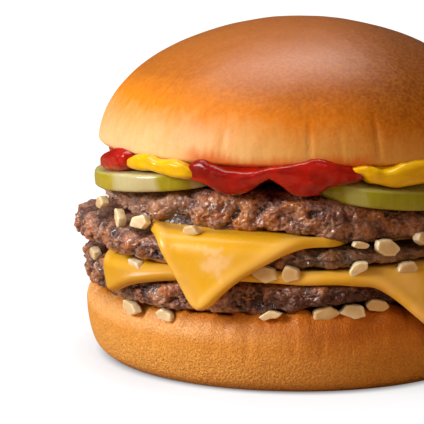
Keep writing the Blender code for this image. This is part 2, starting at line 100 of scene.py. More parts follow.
# The patties, cheese and sauces. A patty's edge is by (inset in millimetres, share of its height).
DISC_HEIGHT = 10.0 * MM
SHOULDER = 39.0 * MM
PATTY_EDGE = ((3.2, 0.0), (1.1, 0.10), (0.1, 0.33), (0.0, 0.58), (1.3, 0.84), (5.0, 1.0))
CHEESE_BEND = 3.0 * MM
CHEESE_SETBACK = 2.4 * MM
CHEESE_GAP = 0.4 * MM
CHEESE_THICKNESS = 1.7 * MM
LAYER_STEP = CHEESE_THICKNESS + 2.0 * CHEESE_GAP
CHEESE_THINNEST = 0.12
TUCK_RADIUS = 43.0 * MM
CORE_RADIUS = 34.0 * MM
CORE_DEPTH = 5.0 * MM
CORE_HEIGHT = 47.9 * MM
SAUCE_FULLNESS = 0.6

# How finely each form is divided, and the random seeds.
CROWN_STEPS = 26
CURL_STEPS = 5
BUN_SEGMENTS = 112
PATTY_SEGMENTS = 290
PICKLE_SEGMENTS = 64
SAUCE_SEGMENTS = 144
SLICE_CUTS = 99
CROWN_SEED = 5
HEEL_SEED = 8
NOISE_SEED = 4

# The table's side, and the photo's view.
TABLE_SIZE = 6.0
CAMERA_PLACE = (0.0, -0.49384, 0.11922)
CAMERA_TILT = 9.919
CAMERA_PAN = 2.311
CAMERA_LENS = 176.37
CAMERA_SENSOR = 36.0


def length(name, description, default):
    """A length that a user would change."""
    return FloatProperty(name=name, description=description, default=default, unit="LENGTH")


def tint(name, description, *shares):
    """A colour that a user would change, as linear red, green and blue."""
    return FloatVectorProperty(name=name, description=description, default=shares, subtype="COLOR")


class BurgerSizes(PropertyGroup):
    """Sizes of the surfaces' relief and of the small pieces."""

    burger_height: length("Height", "Top of the crown above the table", cad_box[1][2])
    lump: length("Beef lumps", "Depth of the lumps in a patty's side", 1.3 * MM)
    grain: length("Beef grain", "Width of the grains of ground beef", 2.3 * MM)
    grain_depth: length("Grain depth", "Depth of the creases between grains", 0.8 * MM)
    cheese_bead: length("Cheese bead", "How much thicker a slice is at its melted edge", 0.22 * MM)
    crease: length("Bun crease", "Depth of the upright creases in the crust", 0.45 * MM)
    creases: IntProperty(name="Bun creases", description="Creases round each half of the bun", default=30)


class BurgerColours(PropertyGroup):
    """Colours of the foods."""

    crust_pale: tint("Pale crust", "Soft crust at the crown's rim", 0.95, 0.61, 0.30)
    crust_gold: tint("Golden crust", "Crust half way up", 0.78, 0.235, 0.010)
    crust_brown: tint("Brown crust", "Crust on top of the crown", 0.47, 0.128, 0.010)
    heel_gold: tint("Heel crust", "Side of the bottom bun", 0.88, 0.365, 0.052)
    # Painted shade for the creases.
    beef_dark: tint("Beef creases", "Creases between the grains", 0.034, 0.011, 0.011)
    beef_brown: tint("Beef", "Browned ground beef", 0.31, 0.112, 0.055)
    beef_grey: tint("Grey beef", "Less browned patches", 0.54, 0.33, 0.23)
    beef_seared: tint("Seared beef", "Fried orange-brown patches", 0.52, 0.175, 0.026)
    cheese: tint("Cheese", "Melted cheese", 0.85, 0.44, 0.006)
    cheese_pale: tint("Pale cheese", "Where the melt is thick or dry", 0.95, 0.56, 0.13)
    pickle_pale: tint("Pickle flesh", "Translucent flesh", 0.59, 0.52, 0.27)
    pickle_green: tint("Pickle skin", "Olive skin", 0.40, 0.345, 0.006)
    ketchup: tint("Ketchup", "Sweet tomato ketchup", 0.46, 0.010, 0.003)
    mustard: tint("Mustard", "Yellow mustard", 0.92, 0.56, 0.004)
    onion: tint("Onion", "Diced onion", 0.98, 0.80, 0.50)
    onion_soft: tint("Cooked onion", "Onion gone soft", 0.74, 0.45, 0.16)


# Places and surfaces


def at(turn, radius, height=0.0):
    """The point at a turn in degrees, a radius and a height."""
    angle = math.radians(turn)
    return Vector((radius * math.sin(angle), -radius * math.cos(angle), height))


def polar(x, y):
    """The turn in degrees and the radius of a point."""
    return math.degrees(math.atan2(x, -y)), math.hypot(x, y)


def waves(turn, ripples):
    """Sum of ripples round the burger, each (amount, count, turn of a crest)."""
    return sum(amount * math.cos(math.radians(count * (turn - crest))) for amount, count, crest in ripples)


def away(turn, other):
    """Degrees between two turns, from 0 to 180."""
    return abs((turn - other + 180.0) % 360.0 - 180.0)


def ease(share):
    """Smooth step from 0 to 1."""
    share = min(1.0, max(0.0, share))
    return share * share * (3.0 - 2.0 * share)


def bump_at(turn, radius, middle, half_turn, start_radius, full_radius):
    """A swell of a layer's rim about one turn, from 0 to 1."""
    near = ease(1.0 - away(turn, middle) / half_turn)
    return near * ease((radius - start_radius) / (full_radius - start_radius))


def arch(turn, radius, half_turn):
    """The swell of the layers at the front right."""
    return bump_at(turn, radius, ARCH_TURN, half_turn, 36.0 * MM, 46.0 * MM)


def dish(centre, rim, ripples=(), dents=()):
    """A layer's height by (x, y), from its centre and its rippled rim, in millimetres."""

    def height(x, y):
        turn, radius = polar(x, y)
        edge = rim + waves(turn, ripples)
        edge -= sum(depth * ease(1.0 - away(turn, middle) / width) for depth, middle, width in dents)
        return (centre + (edge - centre) * radius / RIM) * MM

    return height


def above(surface, rise):
    """The same surface, raised."""
    return lambda x, y: surface(x, y) + rise


heel_room = dish(17.3, 17.6)
bottom_top = dish(25.4, 26.3, ((0.5, 3, 40.0),))
middle_top = dish(34.3, 34.0, ((2.2, 1, -80.0), (-0.9, 2, 15.0)), ((2.4, -115.0, 62.0),))
upper_top = dish(44.5, 43.2, ((1.7, 3, -12.0), (0.7, 1, -80.0)))


def bottom_underside(x, y):
    """Rests on the bottom bun and arches up a little at the front right."""
    turn, radius = polar(x, y)
    return heel_room(x, y) + 3.1 * MM * arch(turn, radius, 30.0)


SIDE_LOBES = ((0.7, 5, 20.0), (0.5, 8, 50.0), (0.4, 13, 10.0))


def reach_of(radius, first_ripple):
    """A patty's outline: its radius by turn."""
    return lambda turn: (radius + waves(turn, (first_ripple, *SIDE_LOBES))) * MM


bottom_reach = reach_of(49.7, (1.4, 1, -80.0))
middle_reach = reach_of(50.4, (3.1, 1, -80.0))
upper_reach = reach_of(48.0, (-1.6, 1, -85.0))


def pressed_top(x, y):
    """The middle patty's top, pressed down at the front left by the one above."""
    turn, radius = polar(x, y)
    return middle_top(x, y) - 1.4 * MM * bump_at(turn, radius, -37.0, 34.0, 40.0 * MM, 47.0 * MM)


# How far the top patty's rim sags on what it lies on, by turn, in millimetres.
SAG_TURNS = (-80.0, -64.0, -52.0, -40.0, -30.0, -21.0, -11.0, -3.0, 4.0, 11.0, 20.0, 44.0, 56.0)
SAG_DEPTHS = (0.0, 1.6, 2.9, 3.3, 3.2, 2.4, 0.6, 0.2, 0.8, 1.6, 1.5, 1.3, 0.0)


def upper_underside(x, y):
    """Sags past the rim of the patty below at the front."""
    turn, radius = polar(x, y)
    sag = float(np.interp(turn, SAG_TURNS, SAG_DEPTHS)) * MM
    return middle_top(x, y) + LAYER_STEP - sag * ease((radius - SHOULDER) / (6.0 * MM))


# Each patty: piece, node, underside, top, outline and the place of its grain.
PATTIES = (
    ("beef_bottom", "patty_bottom", bottom_underside, bottom_top, bottom_reach, 3.0),
    ("beef_middle", "patty_middle", above(bottom_top, LAYER_STEP), pressed_top, middle_reach, 11.0),
    ("beef_top", "patty_top", upper_underside, upper_top, upper_reach, 19.0),
)


# Modelling


def deselect():
    """Leaves nothing selected, in object mode."""
    if bpy.context.mode != "OBJECT":
        bpy.ops.object.mode_set(mode="OBJECT")
    bpy.ops.object.select_all(action="DESELECT")


def take_up(piece):
    """Makes one piece the selected and active one."""
    deselect()
    piece.select_set(True)
    bpy.context.view_layer.objects.active = piece


def new_piece(name):
    """Names the primitive that was just added."""
    piece = bpy.context.object
    piece.name = name
    piece.data.name = name
    return piece


def apply_modifiers(piece):
    """Applies each of the piece's modifiers in turn."""
    take_up(piece)
    for modifier in list(piece.modifiers):
        bpy.ops.object.modifier_apply(modifier=modifier.name)


def edit_all():
    """Opens the active piece for editing, with all of it selected."""
    bpy.ops.object.mode_set(mode="EDIT")
    bpy.ops.mesh.select_all(action="SELECT")


def settle(piece):
    """Puts the piece's place, turn and size into its mesh, with its faces outward."""
    take_up(piece)
    bpy.ops.object.transform_apply(location=True, rotation=True, scale=True)
    edit_all()
    bpy.ops.mesh.remove_doubles(threshold=0.002 * MM)
    bpy.ops.mesh.normals_make_consistent(inside=False)
    bpy.ops.object.mode_set(mode="OBJECT")


def smoothed(piece, levels):
    """Subdivides the piece's surface and keeps the result."""
    subdivision = piece.modifiers.new("Smooth", "SUBSURF")
    subdivision.levels = subdivision.render_levels = levels
    apply_modifiers(piece)


def ringed(name, profile, segments):
    """A closed round form: a ring extruded along a profile of (radius, height), then smoothed and closed."""
    deselect()
    radius, height = profile[0]
    bpy.ops.mesh.primitive_circle_add(vertices=segments, radius=radius, location=(0.0, 0.0, height))
    piece = new_piece(name)
    edit_all()
    for next_radius, next_height in profile[1:]:
        step = (0.0, 0.0, next_height - height)
        bpy.ops.mesh.extrude_edges_move(TRANSFORM_OT_translate={"value": step})
        share = next_radius / radius
        bpy.ops.transform.resize(value=(share, share, 1.0))
        radius, height = next_radius, next_height
    bpy.ops.object.mode_set(mode="OBJECT")
    smoothed(piece, 2)
    bpy.ops.object.mode_set(mode="EDIT")
    bpy.ops.mesh.select_all(action="DESELECT")
    bpy.ops.mesh.select_non_manifold()
    bpy.ops.mesh.fill_holes(sides=0)
    bpy.ops.mesh.select_all(action="DESELECT")
    bpy.ops.mesh.select_face_by_sides(number=4, type="GREATER")
    bpy.ops.mesh.poke()
    bpy.ops.object.mode_set(mode="OBJECT")
    settle(piece)
    return piece


def read_all(items, name):
    """A place or direction of every item, as an array."""
    numbers = np.empty(len(items) * 3, np.float32)
    items.foreach_get(name, numbers)
    return numbers.reshape(-1, 3).astype(float)


def places_of(piece):
    """The piece's points."""
    return read_all(piece.data.vertices, "co")


def normals_of(piece):
    """The directions that the piece's surface faces at its points."""
    return read_all(piece.data.vertex_normals, "vector")


def place(piece, places):
    """Moves the piece's points."""
    piece.data.vertices.foreach_set("co", np.asarray(places, np.float32).ravel())
    piece.data.update()


def within_box(piece):
    """Holds the piece's outermost bumps inside the solids' box."""
    place(piece, np.clip(places_of(piece), cad_box[0], cad_box[1]))


def mark(piece, name, values):
    """Keeps a number for each point, which the materials read."""
    attribute = piece.data.attributes.new(name, "FLOAT", "POINT")
    attribute.data.foreach_set("value", np.asarray(values, np.float32))


def spline(points, steps):
    """Points along a smooth curve through the given ones, with a number of steps between each pair."""
    points = [Vector(point) for point in points]
    padded = [2.0 * points[0] - points[1], *points, 2.0 * points[-1] - points[-2]]
    found = []
    for before, start, end, after in zip(padded, padded[1:], padded[2:], padded[3:]):
        for share in (step / steps for step in range(steps)):
            found.append(
                0.5 * (
                    2.0 * start + (end - before) * share
                    + (2.0 * before - 5.0 * start + 4.0 * end - after) * share**2
                    + (3.0 * (start - end) + after - before) * share**3
                )
            )
    return np.array([*found, points[-1]])


def furnish(piece, look, slot, *nodes):
    """Gives a finished piece its material and its place in the model."""
    within_box(piece)
    piece.data.materials.clear()
    piece.data.materials.append(look)
    take_up(piece)
    bpy.ops.object.shade_smooth()
    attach(piece, "root")
    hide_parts(*nodes)


# Materials


def arithmetic(operation, reflected=False):
    """A Python operator that adds a Math node, with its sides swapped if it is reflected."""

    def apply(value, other):
        first, second = (other, value) if reflected else (value, other)
        return value.nodes.node("ShaderNodeMath", {"operation": operation}, {0: first, 1: second})

    return apply


class Value:
    """An output socket, whose Python arithmetic adds Math nodes."""

    __add__ = arithmetic("ADD")
    __radd__ = arithmetic("ADD", reflected=True)
    __sub__ = arithmetic("SUBTRACT")
    __rsub__ = arithmetic("SUBTRACT", reflected=True)
    __mul__ = arithmetic("MULTIPLY")
    __rmul__ = arithmetic("MULTIPLY", reflected=True)
    __pow__ = arithmetic("POWER")
    __rpow__ = arithmetic("POWER", reflected=True)

    def __init__(self, nodes, socket):
        self.nodes = nodes
        self.socket = socket

    def rise(self, low, high):
        """0 below one value and 1 above the other, with a smooth rise between; falls if low is higher."""
        inputs = {"Value": self, "From Min": low, "From Max": high}
        return self.nodes.node("ShaderNodeMapRange", {"interpolation_type": "SMOOTHSTEP"}, inputs)

    def span(self, low, high):
        """The same rise between two places in millimetres."""
        return self.rise(low * MM, high * MM)


class Nodes:
    """The nodes of a material or of the world, and the one of them that the others feed."""

    def __init__(self, owner, shader):
        owner.use_nodes = True
        self.tree = owner.node_tree
        self.shader = self.tree.nodes[shader]

    def node(self, kind, settings=None, inputs=None, output=0):
        """Adds a node: its settings and any ramp's stops first, then the values or links of its sockets."""
        made = self.tree.nodes.new(kind)
        for name, value in (settings or {}).items():
            if name == "stops":
                stops = made.color_ramp.elements
                while len(stops) < len(value):
                    stops.new(1.0)
                for stop, (spot, colour) in zip(stops, value):
                    stop.position = spot
                    stop.color = (*colour, 1.0)
            else:
                setattr(made, name, value)
        for name, value in (inputs or {}).items():
            if isinstance(value, Value):
                self.tree.links.new(value.socket, made.inputs[name])
            else:
                made.inputs[name].default_value = value
        return Value(self, made.outputs[output])

    def mix(self, share, first, second, mode="MIX"):
        """One colour over another."""
        settings = {"data_type": "RGBA", "blend_type": mode}
        sides = [side if isinstance(side, Value) else (*side, 1.0) for side in (first, second)]
        return self.node("ShaderNodeMix", settings, {"Factor": share, 6: sides[0], 7: sides[1]}, output=2)

    def wire(self, wires):
        """Links what varies to the sockets of the shader."""
        for socket, value in wires.items():
            self.tree.links.new(value.socket, self.shader.inputs[socket])


class Look(Nodes):
    """A material under construction, with uniform values set on its shader's own sockets."""

    def __init__(self, name, **uniform):
        self.material = bpy.data.materials.new(name)
        super().__init__(self.material, "Principled BSDF")
        for socket, value in uniform.items():
            self.shader.inputs[socket.replace("_", " ").title().replace("Ior", "IOR")].default_value = value
        self.colour = None
        self.position = self.node("ShaderNodeTexCoord", output="Object")
        split = {0: self.position}
        self.x, self.y, self.z = (self.node("ShaderNodeSeparateXYZ", {}, split, axis) for axis in range(3))

    def stretched(self, *shares):
        """The position, stretched along each axis."""
        return self.node("ShaderNodeVectorMath", {"operation": "MULTIPLY"}, {0: self.position, 1: shares})

    def clouds(self, size, detail, position=None, shift=0.0):
        """Noise from 0 to 1 with features of a size in millimetres."""
        inputs = {0: position or self.position, 1: (shift, shift, shift)}
        moved = self.node("ShaderNodeVectorMath", {"operation": "ADD"}, inputs)
        inputs = {"Vector": moved, "Scale": 1.0 / (size * MM), "Detail": detail}
        return self.node("ShaderNodeTexNoise", {}, inputs)

    def cells(self, size):
        """Distances to scattered points, a size in millimetres apart."""
        inputs = {"Vector": self.position, "Scale": 1.0 / (size * MM)}
        return self.node("ShaderNodeTexVoronoi", {"feature": "F1"}, inputs)

    def read(self, name):
        """The piece's own numbers of that name."""
        return self.node("ShaderNodeAttribute", {"attribute_name": name}, output="Fac")

    def ramp(self, value, *stops):
        """A colour by value."""
        return self.node("ShaderNodeValToRGB", {"stops": stops}, {"Fac": value})

    def paint(self, share, colour, mode="MIX"):
        """Lays a colour over what is there, by a share."""
        self.colour = self.mix(share, self.colour, colour, mode)

    def finish(self, height, depth, roughness, coat=None):
        """Wires the colour, a relief of a depth in metres, the roughness and a coat that varies."""
        bumped = self.node("ShaderNodeBump", {}, {"Height": height, "Distance": depth, "Strength": 1.0})
        coats = {"Coat Weight": coat} if coat else {}
        self.wire({"Base Color": self.colour, "Normal": bumped, "Roughness": roughness, **coats})
        return self.material


def crown_crust():
    """Satin soft crust: caramel on top, golden at the side and pale at the rim, stained by the ketchup, with
    painted shade darkening its right side.
    """
    tone = bpy.context.scene.burger_colours
    look = Look("crown_crust", coat_roughness=0.36, specular_ior_level=0.2, subsurface_weight=0.06,
                subsurface_scale=1.5 * MM, subsurface_radius=(1.0, 0.5, 0.25))
    uneven = look.clouds(22, 3) - 0.5
    streaks = look.clouds(1.6, 3, look.stretched(1.0, 1.0, 0.10)) - 0.5
    # Painted shade: the crust's bake by height is pushed browner towards the right, away from the key lamp.
    sunny = look.x.span(-46, 14)
    baked = look.z + sunny * (4.5 * MM) + uneven * (9.0 * MM) + streaks * (5.0 * MM)
    look.colour = look.ramp(
        baked.span(50, 80),
        (0.05, tone.crust_pale),
        (0.24, tuple(0.5 * pale + 0.5 * gold for pale, gold in zip(tone.crust_pale, tone.crust_gold))),
        (0.46, tone.crust_gold),
        (0.75, tone.crust_brown),
        (1.0, tone.crust_brown),
    )
    # Painted shade: darkens the right side.
    look.paint(sunny * 0.9, (0.75, 0.60, 0.24), "MULTIPLY")
    shaded = look.x.span(4, 26) * look.z.span(54, 61)
    look.paint(shaded, (0.64, 0.62, 0.36), "MULTIPLY")
    speckle = look.clouds(0.8, 3)
    look.paint(speckle.rise(0.30, 0.72) * 0.14, (1.0, 0.45, 0.03))
    pores = look.cells(1.3).rise(0.20, 0.05)
    look.paint(pores * 0.12, tone.crust_brown)
    near_front = look.y.span(-30, -42) * look.x.span(-27, -20) * look.x.span(20, 13)
    stain = (look.z - uneven * (5.0 * MM) - streaks * (3.0 * MM)).span(54.8, 51.8) * near_front
    look.paint(stain * look.z.span(56.5, 54.5) * 0.9, (0.70, 0.13, 0.012))
    height = speckle * 0.5 + look.clouds(3, 2) * 0.7 - pores * 0.3
    return look.finish(height, 0.12 * MM, speckle * 0.15 + 0.34, look.z.span(62, 78) * 0.8)


def heel_crust():
    """Orange-tan crust with a fine grain, shinier where grease has soaked into its shoulder."""
    tone = bpy.context.scene.burger_colours
    look = Look("heel_crust", specular_ior_level=0.28, subsurface_weight=0.06, subsurface_scale=1.2 * MM,
                subsurface_radius=(1.0, 0.5, 0.25))
    uneven = look.clouds(16, 3)
    grain = look.clouds(0.55, 3)
    dimples = look.cells(0.75)
    pits = look.clouds(0.42, 2, shift=0.2).rise(0.52, 0.38)
    low = look.z.span(14, 3)
    # Painted shade: this mask rises towards the right, where the crust is darkened away from the key lamp.
    sunny = look.x.span(-38, 16)
    # Darker and redder in random patches, and towards the right as painted shade.
    look.colour = look.mix(uneven.rise(0.3, 0.75) * 0.3 + sunny * 0.55, tone.heel_gold, (0.70, 0.20, 0.012))
    look.paint(dimples.rise(0.5, 0.0) * (low * 0.35 + 0.2), (0.98, 0.52, 0.14))
    look.paint(grain.rise(0.46, 0.68) * (low * 0.4 + 0.25), (0.55, 0.15, 0.010))
    # The grease-soaked shoulder, reaching lower and darker on the right as painted shade.
    shoulder = (look.z + uneven * (3.0 * MM) + sunny * (2.0 * MM)).span(15, 18.4)
    look.paint(shoulder * (sunny * 0.25 + 0.6), (0.58, 0.15, 0.008))
    # Paler towards the bottom: the crust's paler foot, and painted light standing in for light from the table
    # below.
    look.paint(low * 0.55, (1.0, 0.53, 0.12))
    # Painted shade: darkens the right side.
    look.paint(look.x.span(0, 24) * 0.8, (0.84, 0.80, 0.50), "MULTIPLY")
    look.paint(pits * (low * 0.26 + 0.12), (0.50, 0.13, 0.008))
    # Browner towards the foot, then painted contact shade in the last millimetre or so, where the bun sits on
    # the table.
    look.paint(look.z.span(3.4, 0) * 0.2, (0.40, 0.11, 0.01))
    look.paint(look.z.span(1.5, 0.2) * 0.6, (0.16, 0.05, 0.01))
    # Painted light: a paler band high on the heel's side at the left, where the lamps fall and shine.
    satin = look.z.span(10.5, 13.5) * look.z.span(17, 15) * (1.0 - sunny)
    look.paint(satin * 0.5, (1.0, 0.55, 0.22))
    height = dimples * (low * -0.6 - 0.4) + grain * 0.5 - pits * 0.5 + look.clouds(2.6, 2) * 0.4
    return look.finish(height, 0.22 * MM, shoulder * -0.10 + 0.44)


def browned_beef():
    """Coarse ground beef, painted dark in its creases as shade, seared and grey in patches, wet with fat,
    with more painted shade along the top of each side and towards the right, and painted light on the top
    patty's left.
    """
    tone = bpy.context.scene.burger_colours
    look = Look("browned_beef", coat_roughness=0.07, specular_ior_level=0.6, subsurface_weight=0.05,
                subsurface_scale=MM, subsurface_radius=(1.0, 0.35, 0.2))
    fine = look.clouds(0.7, 3)
    relief = look.read("relief") + (fine - 0.5) * 1.1
    # Painted shade: darker down in the creases between the grains, lighter up on the crests.
    look.colour = look.ramp(
        relief,
        (0.15, tone.beef_dark),
        (0.45, tone.beef_brown),
        (0.90, tuple(1.7 * part for part in tone.beef_brown)),
    )
    # Painted light: the top patty's left is made paler and greyer where the key lamp falls on it.
    sunlit = look.x.span(-20, -34) * look.z.span(34, 38.5)
    grey = (look.clouds(4, 3, shift=0.7) + sunlit * 0.08).rise(0.47, 0.62)
    look.paint(grey * relief.rise(0.25, 0.7) * (sunlit * 0.3 + 0.6), tone.beef_grey)
    look.paint(sunlit * 0.4, tone.beef_grey)
    level = look.read("level") + (look.clouds(6, 2, shift=1.3) - 0.5) * 0.8
    waist = level.rise(0.15, 0.45) * level.rise(1.0, 0.7)
    seared = look.clouds(5, 3, shift=0.3).rise(0.44, 0.58) * (waist * 0.55 + 0.35)
    left = look.x.span(-12, -30)
    look.paint(seared * relief.rise(0.2, 0.6) * (1.0 - left * 0.55), tone.beef_seared)
    look.paint(level.rise(0.30, 0.0) * relief.rise(0.3, 0.7) * 0.35, tone.beef_grey)
    # Painted shade along the top of each patty's side, under the layer above.
    look.paint(level.rise(0.72, 1.05) * 0.6, (0.055, 0.020, 0.018))
    purple = look.clouds(3.6, 3, shift=1.7).rise(0.50, 0.62)
    look.paint(purple * (left * 0.15 + 0.65) * (1.0 - sunlit * 0.6), (0.075, 0.026, 0.028))
    specks = look.clouds(0.9, 2, shift=1.1).rise(0.58, 0.68)
    look.paint(specks * relief.rise(0.3, 0.6) * 0.45, (0.62, 0.44, 0.37))
    # Painted shade: darker on the bottom patty's lower right and towards the right of every patty, away from
    # the key lamp.
    fried = look.z.span(26, 22) * look.x.span(-18, 0)
    fried = fried * 0.76 + look.x.span(-10, 24) * 0.4
    look.paint(fried, (0.065, 0.011, 0.004))
    # Painted light: a greyer, lighter patch on the middle patty's right that eases the painted shade there.
    stewed = look.z.span(26, 28.5) * look.z.span(36, 33.5) * look.x.span(-6, 4)
    look.paint(stewed * 0.4, (0.17, 0.115, 0.065))
    height = fine * 0.7 + look.clouds(0.3, 2) * 0.3
    rough = look.clouds(1.8, 3, shift=0.5).rise(0.40, 0.60) * 0.38 + 0.16
    coat = look.clouds(2.6, 2, shift=0.9).rise(0.42, 0.58) * (1.0 - fried * 0.5)
    return look.finish(height, 0.55 * MM, rough, coat)


def melted_cheese():
    """Smooth golden melted cheese, paler where it is thick at the edge."""
    tone = bpy.context.scene.burger_colours
    look = Look("melted_cheese", coat_weight=0.16, coat_roughness=0.22, specular_ior_level=0.35,
                subsurface_weight=0.2, subsurface_scale=2.0 * MM, subsurface_radius=(1.0, 0.55, 0.12))
    soft = look.clouds(9, 2)
    look.colour = look.mix(soft.rise(0.4, 0.7) * 0.4, tone.cheese, tone.cheese_pale)
    look.paint(look.read("edge") * 0.45, tone.cheese_pale)
    # Painted light: paler and peachier towards the right, where the flaps face away from the key lamp.
    peach = (look.clouds(7, 2, shift=0.4).rise(0.40, 0.62) * 0.7 + 0.3) * look.x.span(12, 26)
    look.paint(peach, (1.0, 0.56, 0.12))
    # Painted highlight: a pale mottled patch on the front of the upper slice, standing in for the lamps' soft
    # reflection.
    beside = look.x + 18.0 * MM
    over = look.z - 30.5 * MM
    spot = (beside * beside + over * over) ** 0.5 + (look.clouds(2.6, 3, shift=2.3) - 0.5) * (11.0 * MM)
    look.paint(spot.span(4.4, 0.6) * 0.62, (1.0, 0.66, 0.34))
    # Painted shade: darker on the lower slice's left flap, which faces the key lamp.
    look.paint(look.x.span(-22, -30) * look.z.span(27.5, 25.5) * 0.9, (0.60, 0.29, 0.010))
    return look.finish(look.clouds(1.5, 3) * 0.4 + soft, 0.12 * MM, soft * 0.2 + 0.26)


def wet_pickle():
    """Translucent pale flesh that turns to olive skin, with upright streaks."""
    tone = bpy.context.scene.burger_colours
    look = Look("wet_pickle", coat_weight=0.35, coat_roughness=0.1, specular_ior_level=0.35,
                subsurface_weight=0.25, subsurface_scale=2.0 * MM, subsurface_radius=(0.8, 1.0, 0.25))
    upright = look.stretched(1.0, 1.0, 0.08)
    bands = look.clouds(7, 2, upright, shift=0.2)
    streaks = look.clouds(1.3, 3, upright)
    across = look.x + (bands - 0.5) * (4.0 * MM) + look.z * 0.35
    # Paler upright bands across the front of each slice.
    cut = across.span(-26.6, -25.2) * across.span(-14, -15.8)
    cut = cut + across.span(-8, -6.8) * across.span(-1, -3) * 0.8
    cut = cut + across.span(26, 27.4) * across.span(32, 30.6) * 0.5
    front = look.y.span(-4, -12)
    pale = cut * front + bands.rise(0.56, 0.42) * (1.0 - front)
    skin = look.mix(streaks.rise(0.35, 0.7) * 0.55, tone.pickle_green, (0.47, 0.41, 0.035))
    flesh = look.mix(streaks.rise(0.5, 0.75) * 0.45, tone.pickle_pale, (0.46, 0.44, 0.12))
    look.colour = look.mix(pale, skin, flesh)
    look.paint(look.x.span(-40, -42) * front * 0.8, (0.45, 0.35, 0.008))
    look.paint(look.read("edge") * 0.5, (0.66, 0.62, 0.34))
    # Painted shade: darkens the slices towards the right.
    look.paint(look.x.span(-5, 12) * 0.8, (0.76, 0.84, 0.50), "MULTIPLY")
    height = streaks * 0.6 + look.clouds(0.9, 2) * 0.3
    return look.finish(height, 0.12 * MM, streaks * 0.15 + 0.18)


def sauce(name, colour, deep, pale):
    """Glossy wet sauce, deeper in patches and paler where it is thin."""
    look = Look(name, coat_roughness=0.05, specular_ior_level=0.15, subsurface_weight=0.1,
                subsurface_scale=1.2 * MM, subsurface_radius=(1.0, 0.3, 0.05))
    swirl = look.clouds(4, 2, look.stretched(1.0, 1.0, 1.8))
    fine = look.clouds(1.2, 2)
    look.colour = look.mix(swirl.rise(0.35, 0.7) * 0.7, colour, deep)
    shadow = look.x.span(-26, -22) * look.x.span(-8, -16)
    look.paint(shadow * 0.6, (0.50, 0.35, 0.30), "MULTIPLY")
    thin = (look.z + swirl * (2.4 * MM)).span(49.6, 48.6) * look.x.span(-18, -22)
    look.paint(thin * 0.6, pale)
    wet = look.clouds(2, 3, shift=0.6).rise(0.38, 0.60)
    coat = (wet * 0.75 + 0.08) * (1.0 - shadow * 0.45)
    return look.finish(swirl + fine * 0.2, 0.35 * MM, fine * 0.1 + 0.2, coat)


def soft_onion():
    """Cream onion with light rims and fine ribs, some of it cooked soft and translucent."""
    tone = bpy.context.scene.burger_colours
    look = Look("soft_onion", coat_weight=0.5, coat_roughness=0.12, subsurface_weight=0.35,
                subsurface_scale=1.8 * MM, subsurface_radius=(1.0, 0.8, 0.45))
    patch = look.clouds(2.2, 2)
    rim = look.read("rim").rise(0.28, 0.60)
    look.colour = look.mix(look.read("cooked"), tone.onion, tone.onion_soft)
    look.paint((1.0 - rim) * 0.45, (0.60, 0.40, 0.17))
    look.paint(rim * 0.3, (1.0, 0.90, 0.70))
    look.paint(patch.rise(0.55, 0.75) * 0.35, (0.70, 0.52, 0.26))
    ribs = look.clouds(0.5, 1, look.stretched(1.0, 0.25, 0.6))
    return look.finish(ribs * 0.6 + patch, 0.12 * MM, patch * 0.2 + 0.22)


# Buns


def creases(seed, count, low, high):
    """Places of upright creases: (turn, half width in degrees, lower end, upper end, strength)."""
    chance = random.Random(seed)
    found = []
    for index in range(count):
        turn = 360.0 * (index + chance.uniform(-0.4, 0.4)) / count - 180.0
        end = low + (high - low) * chance.uniform(0.35, 1.0)
        found.append((turn, chance.uniform(0.5, 1.4), low, end, chance.uniform(0.3, 1.0)))
    return found


def crease_depth(turn, height, places):
    """How deep the creases cut at a place, from 0 to 1."""
    deep = 0.0
    for middle, half_turn, low, high, strength in places:
        off = away(turn, middle) / half_turn
        if off < 3.0 and low < height < high:
            deep += strength * math.exp(-off * off) * math.sin(math.pi * (height - low) / (high - low)) ** 0.5
    return min(1.0, deep)


def crown_profile(height):
    """The crown's outline: over the top, round its curled rim and in underneath."""
    points = [(share * MM, height - 0.02 * share * MM) for share in (0.3, 0.8, 1.6)]
    for step in range(1, CROWN_STEPS + 1):
        angle = 0.5 * math.pi * (1.0 - step / CROWN_STEPS)
        rise = (height - CROWN_RIM_HEIGHT) * abs(math.sin(angle)) ** CROWN_FULLNESS
        points.append((CROWN_RADIUS * math.cos(angle), CROWN_RIM_HEIGHT + rise))
    curl = CROWN_RADIUS - CROWN_CURL_WIDTH
    for step in range(1, CURL_STEPS + 1):
        angle = 0.5 * math.pi * step / CURL_STEPS
        drop = CROWN_CURL_DEPTH * math.sin(angle)
        points.append((curl + CROWN_CURL_WIDTH * math.cos(angle), CROWN_RIM_HEIGHT - drop))
    return points + [(share * curl, CROWN_RIM_HEIGHT - CROWN_CURL_DEPTH) for share in (0.85, 0.5)]


class BURGER_OT_crown(Operator):
    """Models the domed top bun"""

    bl_idname = "burger.crown"
    bl_label = "Top bun"

    def execute(self, context):
        sizes = context.scene.burger_sizes
        piece = ringed("crown", crown_profile(sizes.burger_height), BUN_SEGMENTS)
        folds = creases(CROWN_SEED, sizes.creases, *CROWN_CREASES)
        places = places_of(piece)
        moves = []
        for x, y, z in places:
            turn, radius = polar(x, y)
            spot = Vector((x, y, z))
            uneven = noise.noise(spot / (17.0 * MM)) * 0.25 + noise.noise(spot / (4.5 * MM)) * 0.07
            fold = crease_depth(turn, z, folds) * sizes.crease / MM if radius > 0.5 * CROWN_RADIUS else 0.0
            moves.append((uneven - fold - 0.3) * MM)
        places += normals_of(piece) * np.array(moves)[:, None]
        places[:, 0] += CROWN_SHIFT
        place(piece, places)
        furnish(piece, crown_crust(), "bread", "top_bun")
        return {"FINISHED"}


